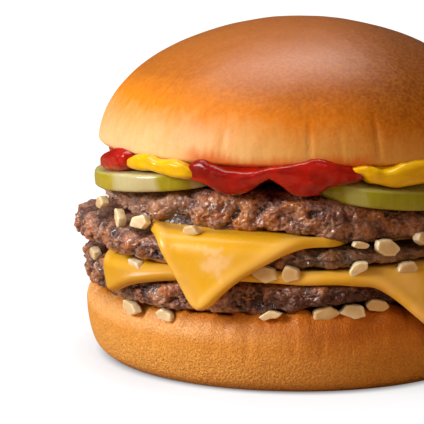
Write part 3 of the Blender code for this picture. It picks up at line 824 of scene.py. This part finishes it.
class BURGER_OT_heel(Operator):
    """Models the bottom bun, with the crumpled shoulder that the patty presses on"""

    bl_idname = "burger.heel"
    bl_label = "Bottom bun"

    def execute(self, context):
        sizes = context.scene.burger_sizes
        side = spline(HEEL_SIDE, 3) * MM
        piece = ringed("heel", [(HEEL_POLE, HEEL_HEIGHT), *side, (HEEL_POLE, 0.0)], BUN_SEGMENTS)
        folds = creases(HEEL_SEED, sizes.creases, *HEEL_CREASES)
        moved = []
        for x, y, z in places_of(piece):
            turn, radius = polar(x, y)
            outside = ease(5.0 * radius / RIM - 4.0)
            swell = 0.35 * waves(turn, ((1.0, 11, 5.0),)) * ease((z / HEEL_HEIGHT - 0.5) / 0.3)
            round_x, round_y, _ = at(turn, 1.0)
            crumple = noise.noise(Vector((round_x * 13.0, round_y * 13.0, z / (16.0 * MM))))
            crumple += 0.5 * noise.noise(Vector((round_x * 30.0, round_y * 30.0, z / (9.0 * MM))))
            swell += 0.35 * crumple * ease((z - 8.0 * MM) / (7.0 * MM))
            swell += 0.18 * noise.noise(Vector((x, y, z)) / (9.0 * MM))
            swell -= crease_depth(turn, z, folds) * sizes.crease / MM
            share = 1.0 + swell * MM * outside / max(radius, 0.5 * RIM)
            slump = bump_at(turn, radius, SLUMP_TURN, 60.0, 42.0 * MM, 47.0 * MM)
            lift = 1.9 * arch(turn, radius, 34.0) - 1.1 * slump + (0.9 * crumple + 0.4) * outside
            fringe = math.exp(-((radius - FRINGE_RADIUS) / FRINGE_WIDTH) ** 2)
            lift += (0.7 + 0.9 * crumple) * fringe
            moved.append((x * share, y * share, z + lift * MM * ease((z / HEEL_HEIGHT - 0.6) / 0.3)))
        place(piece, moved)
        furnish(piece, heel_crust(), "bread", "bottom_bun")
        return {"FINISHED"}


# Beef


def patty(name, underside, top, reach, seed, sizes):
    """A disc pressed between two surfaces and into an outline, with lumps, grains, crumbs and pits."""
    edge = [(RIM - inset * MM, share * DISC_HEIGHT) for inset, share in PATTY_EDGE]
    inner = 0.8 * RIM
    piece = ringed(name, [(inner, 0.0), *spline(edge, 3), (inner, DISC_HEIGHT)], PATTY_SEGMENTS)
    moved = []
    for x, y, z in places_of(piece):
        turn, radius = polar(x, y)
        spot = at(turn, radius * reach(turn) / RIM)
        low = underside(spot.x, spot.y)
        spot.z = low + (top(spot.x, spot.y) - low) * min(1.0, max(0.0, z / DISC_HEIGHT))
        moved.append(tuple(spot))
    place(piece, moved)
    normals = normals_of(piece)
    shift = Vector((seed, 0.3 * seed, 0.0))
    reliefs = []
    moves = []
    levels = []
    for (x, y, z), (_, _, up) in zip(moved, normals):
        spot = Vector((x, y, z))
        low = underside(x, y)
        levels.append((z - low) / max(MM, top(x, y) - low))
        upright = Vector((x, y, 0.4 * z)) + 2.5 * MM * noise.noise_vector(spot / (8.0 * MM))
        spot += 0.7 * MM * noise.noise_vector(spot / (1.5 * MM))
        lump = noise.noise(upright / (6.5 * MM) + shift) + 0.9 * noise.noise(upright / (3.1 * MM) - shift)
        place_of_grain = spot / sizes.grain + shift
        crag = noise.turbulence(place_of_grain, 3, True, amplitude_scale=0.62, frequency_scale=2.1)
        near, next_near = noise.voronoi(spot / (0.5 * sizes.grain) - shift)[0][:2]
        crumb = 1.0 - near * near * 1.6 - 0.5 * math.exp(-10.0 * (next_near - near))
        pit = ease(3.0 * noise.noise(spot / (3.0 * MM) + 2.0 * shift) - 0.8)
        relief = lump * sizes.lump + (crag - 0.5) * sizes.grain_depth
        relief += (crumb - 0.5) * 0.3 * MM - 0.9 * MM * pit
        side = 1.0 - abs(up)
        reliefs.append(0.55 + relief / (2.5 * MM))
        moves.append((0.5 + 0.5 * ease(1.6 * side)) * relief - (0.15 + 0.55 * side) * MM)
    place(piece, np.array(moved) + normals * np.array(moves)[:, None])
    mark(piece, "relief", reliefs)
    mark(piece, "level", levels)
    return piece


class BURGER_OT_patties(Operator):
    """Models the three craggy patties of ground beef"""

    bl_idname = "burger.patties"
    bl_label = "Beef patties"

    def execute(self, context):
        look = browned_beef()
        noise.seed_set(NOISE_SEED)
        for name, node, *form in PATTIES:
            furnish(patty(name, *form, context.scene.burger_sizes), look, "beef", node)
        return {"FINISHED"}


# Cheese


def round_lower(turn):
    """The lower slice hangs past both the patty under it and the bottom bun."""
    return max(bottom_reach(turn), HEEL_RADIUS)


def round_upper(turn):
    """The upper slice also clears the lower one, whose corners hang at the right."""
    wanted = round_lower(turn) + CHEESE_THICKNESS + 2.0 * GAP
    spare = max(0.0, wanted - middle_reach(turn))
    return middle_reach(turn) + spare * ease((100.0 - away(turn, 115.0)) / 30.0)


class Slice(NamedTuple):
    """A square slice of cheese: what it lies on and wraps, and how it lies."""

    name: str
    node: str
    surface: Callable
    wrapped: Callable
    turn: float  # of the tip
    reach: float
    heading: float
    side: float
    corner: float
    melts: tuple  # outward bow of each side, from the tip on
    waver: tuple  # how the side that leaves the tip at the left wanders: (place, outward)
    hang: float  # steepness of the flaps, in degrees
    tucks: tuple  # turns where the slice ends under the patty above: (middle, half width)


# In millimetres from a slice's edge: where it is rounded off and where its melted bead is.
CHEESE_EDGE = 1.1
CHEESE_BEAD_INSET = 1.7
LOWER_WAVER = (
    (0.0, 0.0), (0.1, 0.0), (0.2, -0.8), (0.26, -0.7), (0.33, 1.6), (0.42, 3.2), (0.57, 3.1), (0.67, 1.8),
    (0.77, 0.6), (0.86, -0.2), (0.94, -1.4), (1.0, -2.4),
)
UPPER_WAVER = ((0.0, 0.6), (0.05, 1.2), (0.12, 1.1), (0.21, 0.2), (0.3, 0.0), (1.0, 0.0))
UPPER_TUCKS = ((-104.0, 54.0), (31.5, 13.5))
SLICES = (
    Slice("slice_lower", "cheese_lower", bottom_top, round_lower, 36.5, 65.6, 81.5, 85.0, 2.6,
          (2.0, 2.0, 0.3, 0.0), LOWER_WAVER, 70.0, ()),
    Slice("slice_upper", "cheese_upper", pressed_top, round_upper, -22.3, 67.4, 17.5, 84.0, 5.2,
          (-3.5, 1.5, 1.5, -1.5), UPPER_WAVER, 86.0, UPPER_TUCKS),
)


def rounded(u, v, flap):
    """Rounds the corners of the slice."""
    corner = 2.0 * flap.corner / flap.side
    over = [(abs(2.0 * value - 1.0) - (1.0 - corner)) / corner for value in (u, v)]
    if min(over) <= 0.0:
        return u, v
    found = []
    for value, own, other in ((u, *over), (v, *reversed(over))):
        share = 1.0 - corner + corner * (own * math.sqrt(1.0 - 0.5 * other**2))
        found.append(0.5 + math.copysign(0.5 * share, value - 0.5))
    return found


def spread(u, v, flap):
    """The flat place of a point of the slice, u along the side that leaves the tip and v across it."""
    angle = math.radians(flap.heading)
    along = Vector((math.cos(angle), math.sin(angle), 0.0))
    across = Vector((-along.y, along.x, 0.0))
    side = flap.side * MM
    near, right, far, left = (melt * MM for melt in flap.melts)
    bow_u, bow_v = (math.sin(math.pi * min(1.0, max(0.0, share))) for share in (u, v))
    flat = at(flap.turn, flap.reach * MM) + along * side * u + across * side * v
    flat -= across * near * bow_u * (1.0 - v)
    flat += along * right * bow_v * u
    flat += across * far * bow_u * v
    flat -= along * (left * bow_v + float(np.interp(v, *flap.waver)) * MM) * (1.0 - u)
    return flat


def drape(flat, flap):
    """Where a point of the slice comes to lie."""
    turn, run = polar(flat.x, flat.y)
    for middle, half_turn in flap.tucks:
        free = ease((away(turn, middle) - half_turn) / 9.0)
        run = min(run, TUCK_RADIUS) + max(0.0, run - TUCK_RADIUS) * (0.02 + 0.98 * free)
    start = flap.wrapped(turn) - CHEESE_SETBACK
    level = at(turn, min(run, start))
    steep = math.radians(flap.hang)
    angle = min(steep, max(0.0, run - start) / CHEESE_BEND)
    hang = max(0.0, run - start - CHEESE_BEND * steep)
    radius = min(run, start) + CHEESE_BEND * math.sin(angle) + hang * math.cos(steep)
    height = flap.surface(level.x, level.y) + CHEESE_GAP
    height -= CHEESE_BEND * (1.0 - math.cos(angle))
    height -= hang * math.sin(steep)
    sway = noise.noise(Vector((flat.x, flat.y, flap.side)) / (11.0 * MM))
    radius += 0.35 * MM * sway * ease((run - start) / (6.0 * MM))
    return at(turn, radius, height)


class BURGER_OT_cheese(Operator):
    """Models the two melted slices of cheese"""

    bl_idname = "burger.cheese"
    bl_label = "Cheese slices"

    def execute(self, context):
        look = melted_cheese()
        bead = context.scene.burger_sizes.cheese_bead
        for flap in SLICES:
            flap = flap._replace(waver=spline(flap.waver, 6).T)
            deselect()
            bpy.ops.mesh.primitive_plane_add(size=1.0)
            piece = new_piece(flap.name)
            edit_all()
            bpy.ops.mesh.subdivide(number_cuts=SLICE_CUTS)
            bpy.ops.object.mode_set(mode="OBJECT")
            rim = piece.vertex_groups.new(name="thickness")
            moved = []
            edges = []
            for vertex in piece.data.vertices:
                u, v = (0.5 + 0.5 * math.sin(math.pi * value) for value in vertex.co.xy)
                inset = min(u, v, 1.0 - u, 1.0 - v) * flap.side
                moved.append(tuple(drape(spread(*rounded(u, v, flap), flap), flap)))
                edge = math.exp(-((inset - CHEESE_BEAD_INSET) / CHEESE_EDGE) ** 2)
                edges.append(edge)
                full = math.sqrt(1.0 - (1.0 - min(1.0, inset / CHEESE_EDGE)) ** 2)
                depth = max(CHEESE_THINNEST, full * (1.0 + bead * edge / CHEESE_THICKNESS))
                rim.add([vertex.index], depth * CHEESE_THICKNESS / (CHEESE_THICKNESS + bead), "REPLACE")
            place(piece, moved)
            mark(piece, "edge", edges)
            thicken = piece.modifiers.new("Thickness", "SOLIDIFY")
            thicken.thickness = CHEESE_THICKNESS + bead
            thicken.offset = 1.0
            thicken.vertex_group = rim.name
            apply_modifiers(piece)
            smoothed(piece, 1)
            settle(piece)
            furnish(piece, look, "cheese", flap.node)
        return {"FINISHED"}


# Pickles

# A slice's rounded side: (share of its half width, share of its thickness).
PICKLE_SIDE = (
    (0.5, 0.0), (0.93, 0.0), (0.985, 0.07), (1.0, 0.25), (1.0, 0.75), (0.985, 0.93), (0.93, 1.0), (0.5, 1.0),
)
# Each pickle slice: where it lies, its turn, radius, half length, half width, thickness and its droop.
PICKLES = (
    ("left", -54.8, 37.4, 19.7, 14.0, 4.3, 0.6),
    ("right", 33.0, 36.5, 19.5, 14.0, 4.6, 1.6),
    ("back_right", 112.0, 35.5, 17.5, 14.5, 4.2, 1.0),
    ("back_left", -158.0, 36.0, 18.0, 14.0, 4.4, 1.0),
)


class BURGER_OT_pickles(Operator):
    """Models the oval pickle slices"""

    bl_idname = "burger.pickles"
    bl_label = "Pickle slices"

    def execute(self, context):
        look = wet_pickle()
        profile = [(share * RIM, height * RIM) for share, height in PICKLE_SIDE]
        for side, turn, radius, half_length, half_width, thickness, droop in PICKLES:
            piece = ringed("pickle_slice_" + side, profile, PICKLE_SEGMENTS)
            centre = at(turn, radius * MM)
            along = at(turn + 90.0, half_length * MM / RIM)
            out = at(turn, half_width * MM / RIM)
            moved = []
            edges = []
            for x, y, z in places_of(piece):
                share = z / RIM
                bumps = 1.0 + 0.02 * noise.noise(Vector((x, y, 0.2 * z)) / (0.25 * RIM))
                spot = centre + (along * x - out * y) * bumps
                sag = 0.4 * MM * noise.noise(spot / (12.0 * MM))
                height = upper_top(spot.x, spot.y) + GAP + share * (thickness * MM + sag)
                height -= droop * MM * ease((math.hypot(spot.x, spot.y) - SHOULDER) / (10.0 * MM))
                moved.append((spot.x, spot.y, height))
                edges.append(ease((share - 0.82) / 0.14))
            place(piece, moved)
            settle(piece)
            mark(piece, "edge", edges)
            furnish(piece, look, "pickle", "pickle_" + side)
        return {"FINISHED"}


# Sauces

# Each squeeze of sauce round the stack: (turn, height of its lower edge, height of its upper edge).
KETCHUP_FRONT = (
    (-33.5, 47.4, 48.6), (-30.5, 46.9, 50.6), (-27.2, 46.4, 52.5), (-24, 46.1, 52.5), (-20.2, 44.8, 51.2),
    (-17.2, 44.3, 50.6), (-13.8, 44.8, 50.5), (-10.6, 46.3, 50.6), (-7.7, 48.1, 51), (-5.6, 48.2, 51.4),
    (-3.4, 46.8, 51.8), (-0.2, 44.7, 52.3), (2.6, 44, 52.9), (5.7, 44.3, 53.6), (8.4, 46, 53.3),
    (12.3, 46.6, 52.1), (16.5, 47, 51.5), (20.5, 48.2, 50.4),
)
KETCHUP_RIGHT = ((60, 46.8, 50.4), (66, 45, 51.4), (72, 44.6, 52), (78, 45.2, 51.4), (84, 47, 50.2))
KETCHUP_BACK = (
    (100, 46.8, 50.4), (108, 45.4, 51.4), (118, 46.2, 51.2), (127, 45, 52), (138, 46.4, 51.2),
    (150, 44.8, 51.8), (160, 45.4, 51.6), (168, 47, 50.4),
)
KETCHUP_LEFT = ((-126, 46.6, 50), (-117, 45.2, 50.4), (-108, 46, 50.4), (-100, 45.2, 50.4), (-92, 46.6, 50))
KETCHUP_DROP = ((-67, 46.6, 49), (-62.5, 46.2, 50.9), (-58, 46.5, 52), (-54, 47, 52.4), (-49.5, 47.8, 52.2))
# Each squeeze of mustard, with the radius that it reaches.
MUSTARD = {
    "left": (50.0, (
        (-53, 47.4, 50.9), (-49, 47.6, 51.5), (-45, 47.9, 52.2), (-41.5, 48.2, 52.1), (-38.5, 48, 51.3),
        (-33.5, 47.2, 51.8), (-30.4, 47.1, 51.4), (-27, 47.3, 50.2), (-24.6, 47.6, 49.2),
    )),
    "right": (50.5, (
        (13.6, 49.8, 51.2), (17.6, 48.7, 51.7), (19.9, 47.1, 51.5), (22.9, 46.6, 50.5), (25.4, 46, 50.6),
        (28.2, 45.7, 51.6), (32, 46.1, 52.1), (36, 46.2, 52.2), (42, 46, 52), (47, 46.4, 51.7),
        (51, 47.2, 50.6),
    )),
    "back": (50.0, (
        (-179, 47.2, 50.4), (-172, 46.2, 51.6), (-164, 46.8, 51.2), (-156, 45.8, 52), (-146, 46.6, 51.5),
        (-138, 46.2, 51.4), (-133, 47.2, 50.2),
    )),
}


def boxed(value):
    """A sine or cosine, filled out so that a ball grows boxier."""
    return math.copysign(abs(value) ** SAUCE_FULLNESS, value)


def blob(name, start, end, inner, outer, floor, ceiling):
    """A rounded pool of sauce between two turns, two radii and two surfaces."""
    deselect()
    bpy.ops.mesh.primitive_uv_sphere_add(segments=SAUCE_SEGMENTS, ring_count=SAUCE_SEGMENTS // 2, radius=1.0)
    piece = new_piece(name)
    moved = []
    for x, y, z in places_of(piece):
        spin = math.atan2(y, x)
        level = boxed(math.cos(math.asin(min(1.0, max(-1.0, z)))))
        turn = 0.5 * (start + end) + 0.5 * (end - start) * boxed(math.cos(spin)) * level
        radius = 0.5 * (inner + outer) + 0.5 * (outer - inner) * boxed(math.sin(spin)) * level
        low = floor(turn, radius)
        spot = at(turn, radius, low + (ceiling(turn, radius) - low) * 0.5 * (1.0 + boxed(z)))
        ripple = 0.3 * noise.noise(spot / (4.0 * MM)) + 0.16 * noise.noise(spot / (1.8 * MM))
        moved.append(tuple(spot + spot.normalized() * ripple * MM))
    place(piece, moved)
    settle(piece)
    return piece


def squeeze(name, outline, inner=40.0, outer=50.0):
    """Sauce squeezed out past the patty and up against the top bun, from its (turn, lower, upper edge)."""
    turns, lower, upper = spline(outline, 6).T

    def floor(turn, radius):
        spot = at(turn, radius)
        resting = upper_top(spot.x, spot.y) + GAP
        hanging = float(np.interp(turn, turns, lower)) * MM
        past = ease((radius - upper_reach(turn) + 1.0 * MM) / (1.6 * MM))
        return max(hanging, resting + (hanging - resting) * past)

    def ceiling(turn, radius):
        hidden = CROWN_RIM_HEIGHT - 1.2 * MM
        past = ease((radius - 46.5 * MM) / (1.5 * MM))
        return hidden + (float(np.interp(turn, turns, upper)) * MM - hidden) * past

    return blob(name, turns[0], turns[-1], inner * MM, outer * MM, floor, ceiling)


def joined(piece, others):
    """Makes one piece of several."""
    take_up(piece)
    for other in others:
        other.select_set(True)
    bpy.ops.object.join()


class BURGER_OT_ketchup(Operator):
    """Models the ketchup: lobes round a core, and the drop at the left"""

    bl_idname = "burger.ketchup"
    bl_label = "Ketchup"

    def execute(self, context):
        colour = context.scene.burger_colours.ketchup
        look = sauce("wet_ketchup", colour, (0.26, 0.006, 0.003), (0.66, 0.05, 0.006))
        front = squeeze("ketchup_squeeze", KETCHUP_FRONT, outer=49.9)
        others = [squeeze("lobe", outline) for outline in (KETCHUP_RIGHT, KETCHUP_BACK)]
        others.append(squeeze("lobe", KETCHUP_LEFT, inner=36.0, outer=46.2))
        deselect()
        bpy.ops.mesh.primitive_cylinder_add(
            vertices=96, radius=CORE_RADIUS, depth=CORE_DEPTH, location=(0.0, 0.0, CORE_HEIGHT)
        )
        others.append(new_piece("core"))
        joined(front, others)
        furnish(front, look, "ketchup", "ketchup")
        furnish(squeeze("ketchup_bead", KETCHUP_DROP, outer=50.3), look, "ketchup", "ketchup_drop")
        return {"FINISHED"}


class BURGER_OT_mustard(Operator):
    """Models the three squeezes of mustard"""

    bl_idname = "burger.mustard"
    bl_label = "Mustard"

    def execute(self, context):
        colour = context.scene.burger_colours.mustard
        look = sauce("wet_mustard", colour, (0.80, 0.40, 0.003), (0.80, 0.60, 0.28))
        for side, (outer, outline) in MUSTARD.items():
            piece = squeeze("mustard_squeeze_" + side, outline, outer=outer)
            furnish(piece, look, "mustard", "mustard_" + side)
        return {"FINISHED"}


# Onion

# Each die by the solid that it lies on: turn, radius, height, width, height of its face, roll and how
# cooked it is. All are equally deep.
DIE_DEPTH = 2.2
DICE = {
    "bottom_bun": (
        (-48, 49.6, 16.7, 5.2, 2.8, 8, 0.25), (-36, 49.4, 16.4, 4, 2.4, 12, 0),
        (-6, 48.6, 18.3, 4.8, 1.8, -12, 0.4), (8.1, 48.2, 18.9, 5.9, 2.8, -6, 0.75),
        (15.6, 48.4, 18.9, 5, 2.8, 14, 0.2), (22.5, 48.2, 20, 5.8, 2.6, 6, 0.95),
        (57, 49.4, 16.4, 4.6, 2.8, 10, 0.4), (98, 49.4, 16.4, 4.2, 3, -20, 0.2),
        (150, 49.4, 16.4, 4.8, 3, 15, 0.5), (-166, 49.4, 16.4, 4, 3, 30, 0.1),
        (-122, 49.4, 16.4, 4.6, 3.2, -8, 0.3),
    ),
    "patty_bottom": (
        (-71, 49.4, 25.8, 4, 2.8, 0, 0.3), (82, 48.4, 26.6, 4.6, 3, 12, 0.5),
        (173, 48.4, 26.6, 4.2, 3, -9, 0.1), (-100, 49.4, 26.4, 4.4, 3, 24, 0.6),
    ),
    "cheese_lower": (
        (-42.5, 51.9, 26.8, 5.4, 2.7, 26, 0.1), (-7.3, 49.6, 27.9, 6.2, 3.1, 14, 0.8),
        (-1, 50, 28, 4.2, 2.9, -10, 0.9), (15.8, 50.6, 29.2, 4.5, 2.3, -30, 0.1),
        (29.4, 50.1, 27.9, 4.8, 2.9, -10, 0.7), (112, 49.8, 28, 4.4, 3, -15, 0.3),
        (-140, 50.2, 28, 4.6, 3, 20, 0.5),
    ),
    "patty_middle": (
        (-63, 49.8, 38.9, 4.8, 3.1, -16, 0.35), (-52, 50.2, 37, 4, 2.3, 58, 0.1),
        (17, 49.4, 34, 3.4, 1.5, 4, 0.4), (24, 49.5, 32.9, 5.2, 3.4, 14, 0.3),
        (35, 49.3, 34.2, 4.4, 3, 20, 0.5), (102, 48.2, 33.6, 4.6, 3.2, 14, 0.2),
        (124, 48.4, 34, 4.2, 3, -20, 0.6), (-150, 50, 35.2, 4.8, 3.2, 10, 0.3),
        (-166, 49.6, 34.6, 4.2, 2.8, -14, 0.1),
    ),
    "cheese_upper": (
        (-43, 50.4, 36.8, 4.4, 2.7, -8, 0.1), (-26.5, 50.4, 36.6, 4.2, 2.4, 10, 0.6),
        (66, 50.4, 35.4, 4.6, 3, -12, 0.3), (152, 50.6, 36, 4.4, 3.2, 16, 0.5),
    ),
}


def die(turn, radius, height, width, tall, roll, cooked):
    """One uneven chip of an onion's layer, its face turned outward, with soft edges."""
    deselect()
    chance = random.Random(float(turn))
    corners = chance.choice((5, 5, 6))
    bpy.ops.mesh.primitive_cylinder_add(
        vertices=corners, radius=0.5, depth=1.0, rotation=(0.5 * math.pi, chance.uniform(0.0, math.pi), 0.0)
    )
    bpy.ops.object.transform_apply(rotation=True)
    piece = new_piece("die")
    stretch = [chance.uniform(1.0, 1.5) for _ in range(corners)]
    for index, vertex in enumerate(piece.data.vertices):
        side = Vector((stretch[index // 2], 1.0, stretch[index // 2]))
        jitter = Vector([chance.uniform(0.92, 1.08) for _ in range(3)])
        vertex.co = vertex.co * side * jitter * Vector((width, DIE_DEPTH, tall)) * MM
    bevel = piece.modifiers.new("Soft edges", "BEVEL")
    bevel.width = 0.2 * min(tall, DIE_DEPTH) * MM
    bevel.segments = 2
    smoothed(piece, 2)
    tilt = Euler((chance.uniform(-0.2, 0.2), 0.0, chance.uniform(-0.2, 0.2))).to_matrix()
    facing = Euler((0.0, math.radians(roll), math.radians(turn))).to_matrix()
    curl = chance.uniform(0.0, 0.04) / MM
    outward = at(turn, radius * MM, height * MM)
    seed = Vector((turn, 0.0, 0.0))
    rims = []
    for vertex in piece.data.vertices:
        spot = vertex.co.copy()
        rims.append(math.hypot(spot.x / width, spot.z / tall) / MM)
        spot.z -= curl * spot.x * spot.x
        dent = 0.18 * noise.noise(spot / (1.7 * MM) + seed) + 0.10 * noise.noise(spot / (0.7 * MM) + seed)
        spot += spot.normalized() * dent * MM
        vertex.co = facing @ (tilt @ spot) + outward
    mark(piece, "rim", rims)
    mark(piece, "cooked", [cooked] * len(rims))
    return piece


class BURGER_OT_onion(Operator):
    """Models the diced onion that shows between the layers"""

    bl_idname = "burger.onion"
    bl_label = "Diced onion"

    def execute(self, context):
        look = soft_onion()
        for host, places in DICE.items():
            dice = [die(*spot) for spot in places]
            joined(dice[0], dice[1:])
            dice[0].name = "onion_on_" + host
            settle(dice[0])
            furnish(dice[0], look, "onion", host)
        return {"FINISHED"}


# Stage

# Each light: place, width, depth, power, colour and whether it shows in gloss.
LIGHTS = {
    "key": ((-0.90, -0.43, 0.56), 0.50, 0.50, 13.0, (1.0, 1.0, 1.0), True),
    "top": ((-0.09, 0.18, 0.75), 0.66, 0.42, 3.9, (1.0, 0.95, 0.91), True),
    "fill": ((0.75, -1.25, 0.5), 1.2, 0.9, 3.8, (1.0, 0.70, 0.42), False),
    "glints": ((0.30, -1.00, 0.85), 0.08, 0.08, 1.1, (1.0, 0.84, 0.68), True),
}


def softbox(name, spot, width, depth, power, colour, glossy):
    """A soft rectangular light, aimed at the middle of the burger."""
    bpy.ops.object.light_add(type="AREA", location=spot)
    light = bpy.context.object
    light.name = name
    light.data.shape = "RECTANGLE"
    light.data.size = width
    light.data.size_y = depth
    light.data.energy = power
    light.data.color = colour
    light.visible_glossy = glossy
    aim = Vector((0.0, 0.0, 0.5 * cad_box[1][2])) - Vector(spot)
    light.rotation_euler = aim.to_track_quat("-Z", "Y").to_euler()


def surround(scene):
    """White to the camera, and dim and warm for the burger."""
    scene.world = bpy.data.worlds.new("studio")
    nodes = Nodes(scene.world, "Background")
    seen = nodes.node("ShaderNodeLightPath", output="Is Camera Ray")
    nodes.wire({"Color": nodes.mix(seen, (0.07, 0.055, 0.045), (1.0, 1.0, 1.0))})


def white_table():
    """White to the camera, with a painted contact shadow round the bun's foot and a soft painted shadow to
    its left, and dimmer and warm where it lights the burger from below.
    """
    look = Look("white_table", roughness=0.7, emission_strength=1.0, specular_ior_level=0.0)
    seen = look.node("ShaderNodeLightPath", output="Is Camera Ray")
    lit = look.mix(seen, (0.46, 0.31, 0.19), (0.25, 0.25, 0.26))
    away_from = (look.x * look.x + look.y * look.y) ** 0.5
    shown = look.mix(away_from.rise(0.10, 0.45), (0.80, 0.80, 0.81), (1.0, 1.0, 1.0))
    # Painted shadow: dark right round the bun's foot, and a soft one to its left.
    contact = away_from.span(48.5, 44) * 0.75
    contact = contact + away_from.span(62, 45) * look.x.span(-15, -45) * 0.2
    shown = look.mix(contact, shown, (0.10, 0.10, 0.11))
    look.wire({"Emission Color": look.mix(seen, (0.0, 0.0, 0.0), shown), "Base Color": lit})
    return look.material


class BURGER_OT_stage(Operator):
    """Sets the table, the studio light and the camera"""

    bl_idname = "burger.stage"
    bl_label = "Stage"

    def execute(self, context):
        scene = context.scene
        scene.view_settings.view_transform = "Standard"
        deselect()
        bpy.ops.mesh.primitive_plane_add(size=TABLE_SIZE)
        table = new_piece("table")
        table.data.materials.append(white_table())
        for name, light in LIGHTS.items():
            softbox(name, *light)
        surround(scene)
        bpy.ops.object.camera_add(location=CAMERA_PLACE)
        camera = bpy.context.object
        camera.rotation_euler = (math.radians(90.0 - CAMERA_TILT), 0.0, math.radians(CAMERA_PAN))
        camera.data.lens = CAMERA_LENS
        camera.data.sensor_width = CAMERA_SENSOR
        scene.camera = camera
        return {"FINISHED"}


STEPS = ("stage", "heel", "patties", "cheese", "pickles", "ketchup", "mustard", "onion", "crown")


class BURGER_PT_panel(Panel):
    """Lists the burger's pieces and their sizes and colours"""

    bl_label = "Triple cheeseburger"
    bl_idname = "BURGER_PT_panel"
    bl_space_type = "VIEW_3D"
    bl_region_type = "UI"
    bl_category = "Burger"

    def draw(self, context):
        for step in STEPS:
            self.layout.operator("burger." + step)
        for group in (context.scene.burger_sizes, context.scene.burger_colours):
            box = self.layout.box()
            for name in type(group).__annotations__:
                box.prop(group, name)


CLASSES = (
    BurgerSizes, BurgerColours, BURGER_OT_crown, BURGER_OT_heel, BURGER_OT_patties, BURGER_OT_cheese,
    BURGER_OT_pickles, BURGER_OT_ketchup, BURGER_OT_mustard, BURGER_OT_onion, BURGER_OT_stage,
    BURGER_PT_panel,
)


def register():
    for kind in CLASSES:
        bpy.utils.register_class(kind)
    bpy.types.Scene.burger_sizes = PointerProperty(type=BurgerSizes)
    bpy.types.Scene.burger_colours = PointerProperty(type=BurgerColours)


def unregister():
    del bpy.types.Scene.burger_colours
    del bpy.types.Scene.burger_sizes
    for kind in reversed(CLASSES):
        bpy.utils.unregister_class(kind)


def main():
    register()
    for step in STEPS:
        getattr(bpy.ops.burger, step)()


if __name__ == "__main__":
    main()
